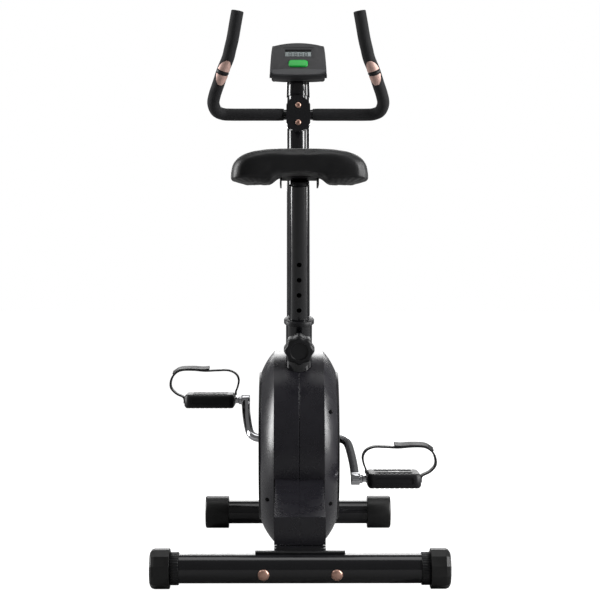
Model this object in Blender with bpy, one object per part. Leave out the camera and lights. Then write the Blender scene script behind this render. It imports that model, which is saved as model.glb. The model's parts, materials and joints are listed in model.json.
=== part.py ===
"""An upright exercise bike: one named object for each sub-part, at real size, in metres, with +Z up.

The bike faces +Y, so the rider's back is towards -Y. Every place is measured forward from the rear
stabilizer's axis, in the empty named bike, which sets the origin under the middle of the whole machine.
Leaning and turning parts hang from empties of their own, which stand on their axes.
"""

import math

import bmesh
import bpy
from mathutils import Matrix, Vector

# Driving dimensions
GAP = 0.0003
REAR_Y = -0.355
WALL = 0.002

TUBE_R = 0.025
REAR_Z, REAR_HALF = 0.03325, 0.206
FRONT_Y, FRONT_Z, FRONT_HALF = 0.695, 0.0335, 0.162
REAR_CAP_R, REAR_CAP_END = 0.03325, 0.255
FRONT_CAP_R, FRONT_CAP_START, FRONT_CAP_END = 0.0345, 0.1485, 0.199
WHEEL_R, WHEEL_Y, WHEEL_Z, WHEEL_X = 0.018, 0.730, 0.024, 0.174
BOLT_X, BOLT_TILT = 0.062, math.radians(16)

BEAM_HALF, BEAM_LOW, BEAM_HIGH = 0.041, 0.032, 0.062

SEAT_LEAN = math.radians(17)
PIN_Y, PIN_Z = 0.344, 0.418
SEAT_TUBE_TOP = 0.029
POST_R, POST_WALL = 0.019, 0.0018
POST_LOW, POST_HIGH = -0.095, 0.300
HOLE_PITCH, HOLES_BELOW, HOLES_ABOVE = 0.030, 2, 5

FRONT_LEAN = math.radians(7.5)
FRONT_POST_Y, FRONT_POST_Z = 0.575, 0.389
FRONT_POST_R = 0.024
FRONT_POST_LOW, FRONT_POST_HIGH = -0.0975, 0.5351
KNOB_HEIGHT = 0.3825

CRANK_Y, CRANK_Z = 0.465, 0.213
CRANK_LENGTH, CRANK_ANGLE, CRANK_R = 0.127, math.radians(33), 0.00825
ARM_ROOT, ARM_END = 0.097, 0.109
SHELL_HALF = 0.034

FLY_Y, FLY_Z, FLY_R = 0.570, 0.178, 0.080
DRIVE_R, DRIVEN_R, BELT_THICK = 0.085, 0.018, 0.003
BELT_LOW, BELT_HIGH = 0.0443, 0.0517
MAGNET_ANGLE = math.radians(-62)
FORK_LEFT, FORK_RIGHT, FORK_THICK = 0.0200, 0.0560, 0.0035

SHROUD_Y, SHROUD_Z = 0.450, 0.200
SHROUD_REAR, SHROUD_FRONT, SHROUD_TALL = 0.188, 0.240, 0.188
SHROUD_BAND, SHROUD_SIDE, SHROUD_INSET = 0.048, 0.0735, 0.041
SHROUD_WALL = 0.0028
CHAMFER_ARC = (math.radians(35), math.radians(60))
TAIL_HALF = 0.045
COVER_R, COVER_THICK = 0.146, 0.0037

PEDAL_MIDDLE, PEDAL_WIDE, PEDAL_LONG, PEDAL_TALL = 0.1825, 0.103, 0.090, 0.028
STRAP_WIDE, STRAP_THICK = 0.024, 0.0024

SADDLE_BASE_Z = 0.7240
BAR_Y, BAR_Z, BAR_R, BAR_WALL = 0.600, 0.878, 0.011, 0.0015
GRIP_R, GRIP_START = 0.0128, 0.030
CLAMP_BOLT = 0.018
CLAMP_HALF, CLAMP_PEAK, CLAMP_ARC = 0.0249, 0.0318, 0.0472

CONSOLE_Y, CONSOLE_Z, CONSOLE_TILT = 0.632, 0.996, math.radians(35)
BEZEL_HALF, TUB_MIDDLE, TUB_BACK = 0.006, 0.020, 0.034
BUTTON_HEIGHT = -0.0142


# Scene, materials and placing

for old in list(bpy.data.objects):
    bpy.data.objects.remove(old, do_unlink=True)


def finish(name, colour, roughness, metallic=0.0):
    """A plain Principled material."""
    made = bpy.data.materials.new(name)
    made.use_nodes = True
    shader = made.node_tree.nodes["Principled BSDF"]
    shader.inputs["Base Color"].default_value = (*colour, 1.0)
    shader.inputs["Roughness"].default_value = roughness
    shader.inputs["Metallic"].default_value = metallic
    return made


BLACK_PAINT = finish("black_paint", (0.012, 0.012, 0.013), 0.30)
SHROUD_PLASTIC = finish("shroud_plastic", (0.045, 0.042, 0.050), 0.42)
BLACK_PLASTIC = finish("black_plastic", (0.014, 0.014, 0.015), 0.45)
CONSOLE_PLASTIC = finish("console_plastic", (0.060, 0.062, 0.066), 0.50)
FOAM = finish("foam", (0.018, 0.018, 0.019), 0.90)
VINYL = finish("vinyl", (0.020, 0.020, 0.021), 0.62)
STRAP = finish("strap", (0.015, 0.015, 0.016), 0.70)
COPPER = finish("copper_plate", (0.65, 0.38, 0.30), 0.30, 1.0)
CHROME = finish("chrome", (0.80, 0.80, 0.82), 0.10, 1.0)
STEEL = finish("steel", (0.55, 0.55, 0.57), 0.35, 1.0)
IRON = finish("cast_iron", (0.22, 0.22, 0.23), 0.55, 1.0)
RUBBER = finish("rubber", (0.020, 0.020, 0.020), 0.85)
GLASS = finish("window", (0.30, 0.36, 0.36), 0.15)
GREEN = finish("green_button", (0.0, 0.60, 0.12), 0.35)


def empty(name, location, rotation=(0, 0, 0), parent=None):
    made = bpy.data.objects.new(name, None)
    bpy.context.scene.collection.objects.link(made)
    made.parent = parent
    made.location = location
    made.rotation_euler = rotation
    return made


BIKE = empty("bike", (0, REAR_Y, 0))


def add(name, form, material, parent=BIKE, location=(0, 0, 0), rotation=(0, 0, 0), sharp=35):
    """Turns a bmesh into a named object, with its faces out and its round sides smooth."""
    bmesh.ops.recalc_face_normals(form, faces=form.faces)
    mesh = bpy.data.meshes.new(name)
    form.to_mesh(mesh)
    form.free()
    mesh.shade_smooth()
    mesh.set_sharp_from_angle(angle=math.radians(sharp))
    mesh.materials.append(material)
    made = bpy.data.objects.new(name, mesh)
    bpy.context.scene.collection.objects.link(made)
    made.parent = parent
    made.location = location
    made.rotation_euler = rotation
    return made


def tool(form, parent=BIKE, location=(0, 0, 0), rotation=(0, 0, 0)):
    """A shape that cuts or joins others and isn't itself a part."""
    made = add("tool", form, STEEL, parent, location, rotation)
    made.hide_render = True
    made.display_type = "WIRE"
    return made


def boolean(target, other, operation="DIFFERENCE", solver="EXACT"):
    step = target.modifiers.new(operation.lower(), "BOOLEAN")
    step.operation = operation
    step.solver = solver
    step.object = other


# Forms

AXES = {
    "X": Matrix(((0, 0, 1), (1, 0, 0), (0, 1, 0))),
    "Y": Matrix(((0, 1, 0), (0, 0, 1), (1, 0, 0))),
    "Z": Matrix.Identity(3),
}


def turned(profile, axis="Z", sides=24):
    """Turns (radius, height) points about an axis. A profile off the axis is a closed ring's section."""
    form = bmesh.new()
    place = AXES[axis]
    rings = []
    for radius, height in profile:
        if radius == 0:
            rings.append([form.verts.new(place @ Vector((0, 0, height)))])
            continue
        ring = []
        for k in range(sides):
            angle = 2 * math.pi * (k + 0.5) / sides
            point = Vector((radius * math.cos(angle), radius * math.sin(angle), height))
            ring.append(form.verts.new(place @ point))
        rings.append(ring)
    closed = profile[0][0] > 0
    pairs = list(zip(rings, rings[1:] + rings[:1])) if closed else list(zip(rings, rings[1:]))
    for first, second in pairs:
        for k in range(sides):
            n = (k + 1) % sides
            corners = [first[k % len(first)], first[n % len(first)]]
            corners += [second[n % len(second)], second[k % len(second)]]
            form.faces.new(list(dict.fromkeys(corners)))
    return form


def tube(radius, wall, low, high, axis="Z", sides=24):
    inner = radius - wall
    return turned([(radius, low), (radius, high), (inner, high), (inner, low)], axis, sides)


def rod(radius, low, high, axis="Z", sides=20):
    return turned([(0, low), (radius, low), (radius, high), (0, high)], axis, sides)


def loft(sections):
    """Joins closed loops of equal count, one after another, and caps the first and the last."""
    form = bmesh.new()
    rings = [[form.verts.new(p) for p in section] for section in sections]
    for first, second in zip(rings, rings[1:]):
        for k in range(len(first)):
            n = (k + 1) % len(first)
            form.faces.new((first[k], first[n], second[n], second[k]))
    form.faces.new(rings[0])
    form.faces.new(list(reversed(rings[-1])))
    return form


def extruded(outline, low, high, axis="X"):
    """Extrudes a flat outline along an axis; its points are (Y, Z), (X, Z) or (X, Y)."""
    def lifted(a, b, h):
        return {"X": (h, a, b), "Y": (a, h, b), "Z": (a, b, h)}[axis]

    return loft([[lifted(a, b, h) for a, b in outline] for h in (low, high)])


def hoop(outer, inner, low, high, axis="X"):
    """Extrudes the band between two outlines of equal count."""
    def lifted(a, b, h):
        return {"X": (h, a, b), "Y": (a, h, b), "Z": (a, b, h)}[axis]

    form = bmesh.new()
    rings = []
    for outline, height in ((outer, low), (outer, high), (inner, high), (inner, low)):
        rings.append([form.verts.new(lifted(a, b, height)) for a, b in outline])
    for first, second in zip(rings, rings[1:] + rings[:1]):
        for k in range(len(first)):
            n = (k + 1) % len(first)
            form.faces.new((first[k], first[n], second[n], second[k]))
    return form


def block(low, high):
    (x0, y0, z0), (x1, y1, z1) = low, high
    return extruded([(x0, y0), (x1, y0), (x1, y1), (x0, y1)], z0, z1, "Z")


def arc(centre, radius, start, end, steps):
    """Points of an arc, its angles in degrees from the first axis towards the second."""
    found = []
    for k in range(steps + 1):
        angle = math.radians(start + (end - start) * k / steps)
        found.append((centre[0] + radius * math.cos(angle), centre[1] + radius * math.sin(angle)))
    return found


def band(centre, inner, outer, start, end, steps):
    """Outline of the part of a ring between two angles."""
    return arc(centre, outer, start, end, steps) + arc(centre, inner, end, start, steps)


def rounded(half_a, half_b, radius, steps=3, centre=(0, 0)):
    """Outline of a rectangle with round corners."""
    found = []
    for k, (sa, sb) in enumerate(((1, 1), (-1, 1), (-1, -1), (1, -1))):
        middle = (centre[0] + sa * (half_a - radius), centre[1] + sb * (half_b - radius))
        found += arc(middle, radius, 90 * k, 90 * k + 90, steps)
    return found


def smooth_line(points, steps):
    """Points of a Catmull-Rom curve through the given ones."""
    points = [Vector(p) for p in points]
    ends = [2 * points[0] - points[1], *points, 2 * points[-1] - points[-2]]
    found = []
    for a, b, c, d in zip(ends, ends[1:], ends[2:], ends[3:]):
        for k in range(steps):
            t = k / steps
            found.append(
                0.5 * (2 * b + t * (c - a) + t * t * (2 * a - 5 * b + 4 * c - d)
                       + t ** 3 * (3 * b - a - 3 * c + d))
            )
    found.append(points[-1])
    return found


def frames_along(path):
    """A pair of directions square to the path at each of its points, without twist."""
    tangents = []
    for k in range(len(path)):
        ahead = path[min(k + 1, len(path) - 1)]
        behind = path[max(k - 1, 0)]
        tangents.append((ahead - behind).normalized())
    side = tangents[0].orthogonal().normalized()
    found = []
    for tangent in tangents:
        side = (side - tangent * side.dot(tangent)).normalized()
        found.append((side, tangent.cross(side)))
    return found


def sweep_ring(path, frames, radius, sides):
    rings = []
    for point, (side, up) in zip(path, frames):
        ring = []
        for k in range(sides):
            angle = 2 * math.pi * k / sides
            ring.append(point + radius * (math.cos(angle) * side + math.sin(angle) * up))
        rings.append(ring)
    return rings


def swept_rod(path, radius, sides=12):
    return loft(sweep_ring(path, frames_along(path), radius, sides))


def swept_tube(path, frames, outer, inner, sides=8):
    """A bent tube, open at both ends."""
    form = bmesh.new()
    loops = sweep_ring(path, frames, outer, sides) + sweep_ring(path, frames, inner, sides)[::-1]
    rings = [[form.verts.new(p) for p in loop] for loop in loops]
    for first, second in zip(rings, rings[1:] + rings[:1]):
        for k in range(sides):
            n = (k + 1) % sides
            form.faces.new((first[k], first[n], second[n], second[k]))
    return form


def ribbon(points, thickness, low, high):
    """A strap that follows a line of (X, Z) points, its width along Y."""
    points = [Vector((a, 0, b)) for a, b in points]
    left, right = [], []
    for k in range(len(points)):
        along = (points[min(k + 1, len(points) - 1)] - points[max(k - 1, 0)]).normalized()
        across = Vector((-along.z, 0, along.x)) * thickness / 2
        left.append((points[k].x + across.x, points[k].z + across.z))
        right.append((points[k].x - across.x, points[k].z - across.z))
    return extruded(left + right[::-1], low, high, "Y")


SIDES = (("left", -1), ("right", 1))


# Stabilizers, their caps and bolts

def rear_stabilizer():
    bar = add("rear_stabilizer", tube(TUBE_R, WALL, -REAR_HALF, REAR_HALF, "X", 24), BLACK_PAINT,
              location=(0, 0, REAR_Z))
    bolt_axis = empty("rear_bolt_axis", (0, 0, REAR_Z), (BOLT_TILT, 0, 0), BIKE)
    head = [(0, -0.0308), (0.0058, -0.0300), (0.0088, -0.0277), (0.0100, -0.0253), (0.0046, -0.0253)]
    nut = [(0.0046, 0.0310), (0.0085, 0.0310), (0.0085, 0.0385), (0.0046, 0.0400), (0, 0.0400)]
    for side, sign in SIDES:
        x = sign * BOLT_X
        boolean(bar, tool(rod(0.0050, -0.03, 0.03, "Y", 12), bolt_axis, (x, 0, 0)))
        add(f"rear_bolt_{side}", turned(head + nut, "Y", 14), COPPER, bolt_axis, (x, 0, 0))
        sleeve = [
            (0.0226, 0.165), (0.0226, REAR_HALF + GAP), (0.028, REAR_HALF + GAP), (0.028, 0.2212),
            (0.0220, 0.2212), (0.0220, 0.2500), (0.0190, 0.2500), (0.0190, 0.165),
        ]
        if sign < 0:
            sleeve = [(r, -h) for r, h in sleeve]
        add(f"rear_sleeve_{side}", turned(sleeve, "X", 24), BLACK_PLASTIC, location=(0, 0, REAR_Z))
        cap_axis = empty(f"rear_cap_axis_{side}", (0, 0, REAR_Z), (0, 0, 0), BIKE)
        corner = REAR_CAP_R / math.cos(math.radians(15))
        facets = [(corner * math.cos(math.radians(15 + 30 * k)),
                   corner * math.sin(math.radians(15 + 30 * k))) for k in range(12)]
        sections = [(0.2215, 1.0), (0.2470, 1.0), (0.2525, 0.93), (REAR_CAP_END, 0.80)]
        cap = add(f"rear_cap_{side}",
                  loft([[(sign * x, a * s, b * s) for a, b in facets] for x, s in sections]),
                  RUBBER, cap_axis)
        bore = sorted((sign * 0.21, sign * 0.2504))
        boolean(cap, tool(rod(0.0223, *bore, "X", 24), cap_axis))


def front_stabilizer():
    add("front_stabilizer", tube(TUBE_R, WALL, -FRONT_HALF, FRONT_HALF, "X", 24), BLACK_PAINT,
        location=(0, FRONT_Y, FRONT_Z))
    for side, sign in SIDES:
        shape = [(0, FRONT_CAP_START), (0.033, FRONT_CAP_START), (FRONT_CAP_R, 0.1505),
                 (FRONT_CAP_R, 0.1945), (0.0325, 0.198), (0.0, FRONT_CAP_END)]
        shape = [(r, sign * h) for r, h in shape]
        cap = add(f"front_cap_{side}", turned(shape, "X", 24), RUBBER,
                  location=(0, FRONT_Y, FRONT_Z))
        for off in (-0.0115, 0.0115):
            x = sign * WHEEL_X + off
            lug = block((x - 0.003, FRONT_Y + 0.010, 0.004), (x + 0.003, WHEEL_Y + 0.007, 0.040))
            boolean(cap, tool(lug), "UNION")
        pin = rod(0.0030, sign * WHEEL_X - 0.0120, sign * WHEEL_X + 0.0120, "X", 12)
        boolean(cap, tool(pin, location=(0, WHEEL_Y, WHEEL_Z)), "UNION")
        core = tube(WHEEL_R + 0.0012, WHEEL_R - 0.0018, sign * WHEEL_X - 0.0084,
                    sign * WHEEL_X + 0.0084, "X", 24)
        boolean(cap, tool(core, location=(0, WHEEL_Y, WHEEL_Z)))
        bore = sorted((sign * 0.14, sign * (FRONT_HALF + GAP)))
        boolean(cap, tool(rod(TUBE_R + GAP, *bore, "X", 24), location=(0, FRONT_Y, FRONT_Z)))
        below = block((-0.3, FRONT_Y - 0.1, -0.05), (0.3, FRONT_Y + 0.1, 0.0))
        boolean(cap, tool(below))
        wheel_axis = empty(f"wheel_axis_{side}", (sign * WHEEL_X, WHEEL_Y, WHEEL_Z), (0, 0, 0), BIKE)
        wheel = [(WHEEL_R - 0.001, -0.0075), (WHEEL_R, -0.0060), (WHEEL_R, 0.0060),
                 (WHEEL_R - 0.001, 0.0075), (0.0034, 0.0075), (0.0034, -0.0075)]
        add(f"transport_wheel_{side}", turned(wheel, "X", 24), RUBBER, wheel_axis)


# Welded frame

def main_beam():
    def section(half, low, high):
        return [(-half, low), (half, low), (half, high), (-half, high)]

    rear_end, front_end = TUBE_R + 0.0028, FRONT_Y - TUBE_R - 0.0028
    outer = section(BEAM_HALF, BEAM_LOW, BEAM_HIGH)
    inner = section(BEAM_HALF - WALL, BEAM_LOW + WALL, BEAM_HIGH - WALL)
    beam = add("main_beam", hoop(outer, inner, rear_end, front_end, "Y"), BLACK_PAINT)
    rear_plate = band((0, REAR_Z), TUBE_R + GAP, TUBE_R + 0.0053, -35, 96, 14)
    boolean(beam, tool(extruded(rear_plate, -0.0765, 0.0765)), "UNION")
    front_plate = band((FRONT_Y, FRONT_Z), TUBE_R + GAP, TUBE_R + 0.0048, 84, 215, 14)
    boolean(beam, tool(extruded(front_plate, -0.060, 0.060)), "UNION")
    boolean(beam, tool(block((-0.0445, 0.0270, 0.045), (0.0445, 0.058, 0.0633))), "UNION")
    bolt_axis = empty("plate_bolt_axis", (0, 0, REAR_Z), (BOLT_TILT, 0, 0), BIKE)
    for side, sign in SIDES:
        boolean(beam, tool(rod(0.0050, 0.01, 0.05, "Y", 12), bolt_axis, (sign * BOLT_X, 0, 0)))


def seat_tube():
    tube_axis = SEAT_AXIS
    low = (BEAM_HIGH - 0.03 - PIN_Z) / math.cos(SEAT_LEAN)
    made = add("seat_tube", tube(TUBE_R, WALL, low, SEAT_TUBE_TOP, "Z", 24), BLACK_PAINT, tube_axis)
    below = block((-0.1, PIN_Y - 0.1, -0.05), (0.1, PIN_Y + 0.3, BEAM_HIGH + GAP))
    boolean(made, tool(below))
    boss = [(0.0090, -0.0470), (0.0135, -0.0470), (0.0135, -0.0235), (0.0090, -0.0235)]
    boolean(made, tool(turned(boss, "Y", 24), tube_axis), "UNION")
    boolean(made, tool(rod(0.0090, -0.0460, -0.0150, "Y", 24), tube_axis))
    boolean(made, tool(rod(0.0030, -0.0300, -0.0150, "Y", 12), tube_axis, (0, 0, 0.0215)))


def post_bushing():
    inner, outer = POST_R + GAP, TUBE_R - WALL - GAP
    top = SEAT_TUBE_TOP + GAP
    shape = [(inner, -0.045), (outer, -0.045), (outer, top), (0.02885, top),
             (0.02885, 0.0365), (0.0275, 0.0380), (inner, 0.0380)]
    made = add("post_bushing", turned(shape, "Z", 24), BLACK_PLASTIC, SEAT_AXIS)
    boolean(made, tool(rod(0.0052, -0.030, -0.010, "Y", 16), SEAT_AXIS))


def bottom_bracket():
    axis = CRANK_HOME
    shell = add("bottom_bracket_shell", rod(TUBE_R, -SHELL_HALF, SHELL_HALF, "X", 24),
                BLACK_PAINT, axis)
    web = block((-0.020, 0.0155, BEAM_HIGH + GAP - CRANK_Z), (0.020, 0.0235, -0.006))
    boolean(shell, tool(web, axis), "UNION")
    boolean(shell, tool(rod(0.0212, -0.05, 0.05, "X", 24), axis))
    for side, sign in SIDES:
        cup = [(0.0092, 0.022), (0.0209, 0.022), (0.0209, SHELL_HALF + GAP),
               (0.0245, SHELL_HALF + GAP), (0.0245, 0.0368), (0.0180, 0.0385), (0.0092, 0.0385)]
        add(f"bearing_cup_{side}", turned([(r, sign * h) for r, h in cup], "X", 24), STEEL, axis)


def fork():
    """Two plates that straddle the flywheel, and the socket on top that the front post slides onto."""
    pivot_y = FLY_Y + 0.0915 * math.cos(MAGNET_ANGLE)
    pivot_z = FLY_Z + 0.0915 * math.sin(MAGNET_ANGLE)
    foot = BEAM_HIGH + GAP
    plate = [(0.535, foot), (0.575, foot), (0.622, 0.090), (0.622, 0.110), (0.600, 0.150),
             (0.598, 0.2797), (0.538, 0.2797), (0.540, 0.150)]
    left, right = -FORK_LEFT - FORK_THICK, FORK_RIGHT + FORK_THICK
    for side, low, high, foot_low, foot_high in (
        ("left", left, -FORK_LEFT, left, 0.0110),
        ("right", FORK_RIGHT, right, 0.0140, right),
    ):
        leg = add(f"fork_leg_{side}", extruded(plate, low, high), BLACK_PAINT)
        boolean(leg, tool(block((foot_low, 0.5351, foot), (foot_high, 0.5749, foot + 0.005))), "UNION")
        boolean(leg, tool(rod(0.0056, -0.05, 0.09, "X", 16), location=(0, FLY_Y, FLY_Z)))
        boolean(leg, tool(rod(0.0046, -0.05, 0.09, "X", 16), location=(0, pivot_y, pivot_z)))
    socket = add("post_socket", block((left, 0.538, 0.2800), (right, 0.598, 0.2860)), BLACK_PAINT)
    boolean(socket, tool(tube(0.0217, 0.0025, -0.1060, 0.02, "Z", 24), FRONT_AXIS), "UNION")
    boolean(socket, tool(rod(0.0045, 0.27, 0.30, "Z", 12), location=(0, 0.5612, 0)))
    axle = [(0, left - 0.0095), (0.0085, left - 0.0085), (0.0085, left - GAP), (0.0053, left - GAP),
            (0.0053, right + GAP), (0.0085, right + GAP), (0.0085, right + 0.0055), (0, right + 0.0060)]
    add("flywheel_axle", turned(axle, "X", 18), STEEL, location=(0, FLY_Y, FLY_Z))


def front_post():
    post = add("front_post", tube(FRONT_POST_R, WALL, FRONT_POST_LOW, FRONT_POST_HIGH, "Z", 24),
               BLACK_PAINT, FRONT_AXIS)
    boolean(post, tool(rod(0.0045, -0.03, -0.015, "Y", 12), FRONT_AXIS, (0, 0, KNOB_HEIGHT)))
    saddle = extruded(rounded(0.024, 0.030, 0.008, 2, (0, BAR_Z)), BAR_Y + GAP, BAR_Y + 0.0215, "Y")
    boolean(post, tool(saddle), "UNION")
    boolean(post, tool(rod(BAR_R + GAP, -0.05, 0.05, "X", 24), location=(0, BAR_Y, BAR_Z)))
    for sign in (-1, 1):
        hole = rod(0.0033, BAR_Y - 0.01, BAR_Y + 0.0160, "Y", 12)
        boolean(post, tool(hole, location=(0, 0, BAR_Z + sign * CLAMP_BOLT)))


def clamp():
    drop = CLAMP_ARC - CLAMP_PEAK
    spread = math.degrees(math.asin(CLAMP_HALF / CLAMP_ARC))
    outline = arc((0, BAR_Z - drop), CLAMP_ARC, 90 - spread, 90 + spread, 6)
    outline += arc((0, BAR_Z + drop), CLAMP_ARC, 270 - spread, 270 + spread, 6)
    cover = add("clamp_cover", extruded(outline, BAR_Y - 0.0178, BAR_Y - GAP, "Y"), BLACK_PAINT)
    boolean(cover, tool(rod(BAR_R + GAP, -0.05, 0.05, "X", 24), location=(0, BAR_Y, BAR_Z)))
    bolt = [(0, -0.0205), (0.0045, -0.0200), (0.0060, -0.0185), (0.0060, -0.0153),
            (0.0029, -0.0153), (0.0029, 0.0150), (0, 0.0150)]
    for name, sign in (("upper", 1), ("lower", -1)):
        place = (0, BAR_Y, BAR_Z + sign * CLAMP_BOLT)
        boolean(cover, tool(rod(0.0033, -0.0250, 0.01, "Y", 12), location=place))
        boolean(cover, tool(rod(0.0064, -0.030, -0.0150, "Y", 16), location=place))
        add(f"clamp_bolt_{name}", turned(bolt, "Y", 12), COPPER, location=place)


# Shroud

def egg(inset):
    """The shroud's side outline, a quarter at a time, moved inwards."""
    steps = 10
    quarters = (
        (SHROUD_FRONT, 1, 1, 1.9),
        (SHROUD_REAR, -1, 1, 2.0),
        (SHROUD_REAR, -1, -1, 2.35),
        (SHROUD_FRONT, 1, -1, 2.2),
    )
    found = []
    for q, (long, sy, sz, power) in enumerate(quarters):
        for k in range(steps):
            t = math.pi / 2 * k / steps
            if q % 2:
                t = math.pi / 2 - t
            y = long * math.cos(t) ** (2 / power) if t < math.pi / 2 - 1e-9 else 0.0
            z = SHROUD_TALL * math.sin(t) ** (2 / power) if t > 1e-9 else 0.0
            found.append(Vector((SHROUD_Y + sy * y, SHROUD_Z + sz * z)))
    moved = []
    for k in range(len(found)):
        along = (found[(k + 1) % len(found)] - found[k - 1]).normalized()
        moved.append(found[k] + inset * Vector((-along.y, along.x)))
    return moved


def shroud_levels(wall):
    """Half widths and insets from the seam to the side face."""
    start, end = CHAMFER_ARC
    levels = [(SHROUD_BAND - wall, wall)]
    for k in range(1, 4):
        angle = start + (end - start) * k / 3
        out = (math.sin(angle) - math.sin(start)) / (math.sin(end) - math.sin(start))
        back = (math.cos(start) - math.cos(angle)) / (math.cos(start) - math.cos(end))
        across = SHROUD_BAND + (SHROUD_SIDE - SHROUD_BAND) * out - wall
        levels.append((across, SHROUD_INSET * back + wall))
    return levels


def shroud_half(sign, wall, seam):
    levels = [(seam, wall)] + shroud_levels(wall)
    sections = []
    for half, inset in levels:
        sections.append([(sign * half, p.x, p.y) for p in egg(inset)])
    return loft(sections)


def shroud():
    tail = [(0.060, 0.0635), (0.060, 0.112), (0.266, 0.154), (0.330, 0.167), (0.330, 0.045),
            (0.262, 0.040)]
    hollow = [(0.060 + SHROUD_WALL, 0.030), (0.060 + SHROUD_WALL, 0.112 - SHROUD_WALL),
              (0.266, 0.154 - SHROUD_WALL), (0.336, 0.164), (0.336, 0.030)]
    for side, sign in SIDES:
        half = add(f"shroud_{side}", shroud_half(sign, 0.0, GAP / 2), SHROUD_PLASTIC)
        seam, edge = sorted((sign * GAP / 2, sign * TAIL_HALF))
        boolean(half, tool(extruded(tail, seam, edge)), "UNION", "MANIFOLD")
        boolean(half, tool(shroud_half(sign, SHROUD_WALL, -0.005)), "DIFFERENCE", "MANIFOLD")
        seam, edge = sorted((-sign * 0.005, sign * (TAIL_HALF - SHROUD_WALL)))
        boolean(half, tool(extruded(hollow, seam, edge)), "DIFFERENCE", "MANIFOLD")
        seat_exit = rod(TUBE_R + 0.0008, -0.15, 0.10, "Z", 24)
        boolean(half, tool(seat_exit, SEAT_AXIS), "DIFFERENCE", "MANIFOLD")
        post_exit = rod(FRONT_POST_R + 0.0008, -0.08, 0.10, "Z", 24)
        boolean(half, tool(post_exit, FRONT_AXIS), "DIFFERENCE", "MANIFOLD")
        beam = block((-BEAM_HALF - 0.0012, 0.20, BEAM_LOW - 0.0015),
                     (BEAM_HALF + 0.0012, 0.72, BEAM_HIGH + 0.0015))
        boolean(half, tool(beam), "DIFFERENCE", "MANIFOLD")
        boolean(half, tool(rod(0.0165, -0.09, 0.09, "X", 24), CRANK_HOME), "DIFFERENCE", "MANIFOLD")
        base = SHROUD_SIDE + GAP
        edge = base + COVER_THICK
        cover = [(0, base), (COVER_R, base), (COVER_R, edge - 0.0012), (COVER_R - 0.0012, edge), (0, edge)]
        cover = add(f"side_cover_{side}", turned([(r, sign * h) for r, h in cover], "X", 36),
                    BLACK_PLASTIC, location=(0, SHROUD_Y, SHROUD_Z))
        boolean(cover, tool(rod(0.0165, -0.09, 0.09, "X", 24), CRANK_HOME))


# Drive

def crank():
    cosine, sine = math.cos(CRANK_ANGLE), math.sin(CRANK_ANGLE)

    def at(x, out):
        return (x, out * cosine, out * sine)

    half = [(ARM_END, CRANK_LENGTH), (0.107, 0.085), (0.102, 0.040), (ARM_ROOT, 0.016),
            (0.088, 0.004), (0.074, 0.0)]
    line = [at(-x, r) for x, r in half] + [at(-0.045, 0), at(0.045, 0)]
    line += [at(x, -r) for x, r in reversed(half)]
    bar = add("crank", swept_rod(smooth_line(line, 2), CRANK_R, 10), CHROME, CRANK_AXIS)
    for side, sign in SIDES:
        end = at(sign * ARM_END, -sign * CRANK_LENGTH)
        eye = [(0, 0.1005), (0.0105, 0.1005), (0.0118, 0.1020), (0.0118, 0.1165), (0.0105, 0.1180),
               (0, 0.1180)]
        eye = turned([(r, sign * h) for r, h in eye], "X", 24)
        boolean(bar, tool(eye, CRANK_AXIS, (0, end[1], end[2])), "UNION")
        hole = rod(0.0063, *sorted((sign * 0.1030, sign * 0.13)), "X", 20)
        boolean(bar, tool(hole, CRANK_AXIS, (0, end[1], end[2])))
        spindle = [(0, 0.1034), (0.0060, 0.1034), (0.0060, 0.1183), (0.0085, 0.1183),
                   (0.0085, 0.1225), (0.0062, 0.1240), (0.0062, 0.2200), (0, 0.2200)]
        spindle = turned([(r, sign * h) for r, h in spindle], "X", 20)
        add(f"spindle_{side}", spindle, STEEL, CRANK_AXIS, (0, end[1], end[2]))


def pulleys():
    wheel = [
        (0.0086, 0.0405), (0.0200, 0.0405), (0.0200, 0.0465), (0.0760, 0.0465), (0.0760, 0.0435),
        (DRIVE_R, 0.0435), (DRIVE_R, 0.0525), (0.0760, 0.0525), (0.0760, 0.0495), (0.0200, 0.0495),
        (0.0200, 0.0555), (0.0086, 0.0555),
    ]
    add("drive_pulley", turned(wheel, "X", 28), BLACK_PLASTIC, CRANK_AXIS)
    wheel = [
        (0.0057, -0.0180), (0.0200, -0.0180), (0.0200, -0.0060), (0.0520, -0.0060), (0.0550, -0.0130),
        (FLY_R, -0.0130), (FLY_R, 0.0130), (0.0550, 0.0130), (0.0520, 0.0060), (0.0200, 0.0060),
        (0.0130, 0.0120), (0.0130, 0.0415), (0.0205, 0.0415), (0.0205, 0.0430), (DRIVEN_R, 0.0437),
        (DRIVEN_R, 0.0523), (0.0205, 0.0530), (0.0205, 0.0545), (0.0057, 0.0545),
    ]
    add("flywheel", turned(wheel, "X", 24), IRON, empty("fly_axis", (0, FLY_Y, FLY_Z), (0, 0, 0), BIKE))


def belt():
    """A loop round both pulleys, its straight runs tangent to them."""
    between = math.hypot(FLY_Y - CRANK_Y, FLY_Z - CRANK_Z)
    tilt = math.degrees(math.atan2(FLY_Z - CRANK_Z, FLY_Y - CRANK_Y))
    wrap = math.degrees(math.acos((DRIVE_R - DRIVEN_R) / between))

    def loop(extra):
        big = arc((CRANK_Y, CRANK_Z), DRIVE_R + extra, tilt + wrap, tilt + 360 - wrap, 22)
        small = arc((FLY_Y, FLY_Z), DRIVEN_R + extra, tilt - wrap, tilt + wrap, 8)
        return big + small

    add("drive_belt", hoop(loop(BELT_THICK), loop(0.0007), BELT_LOW, BELT_HIGH), RUBBER)


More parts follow.
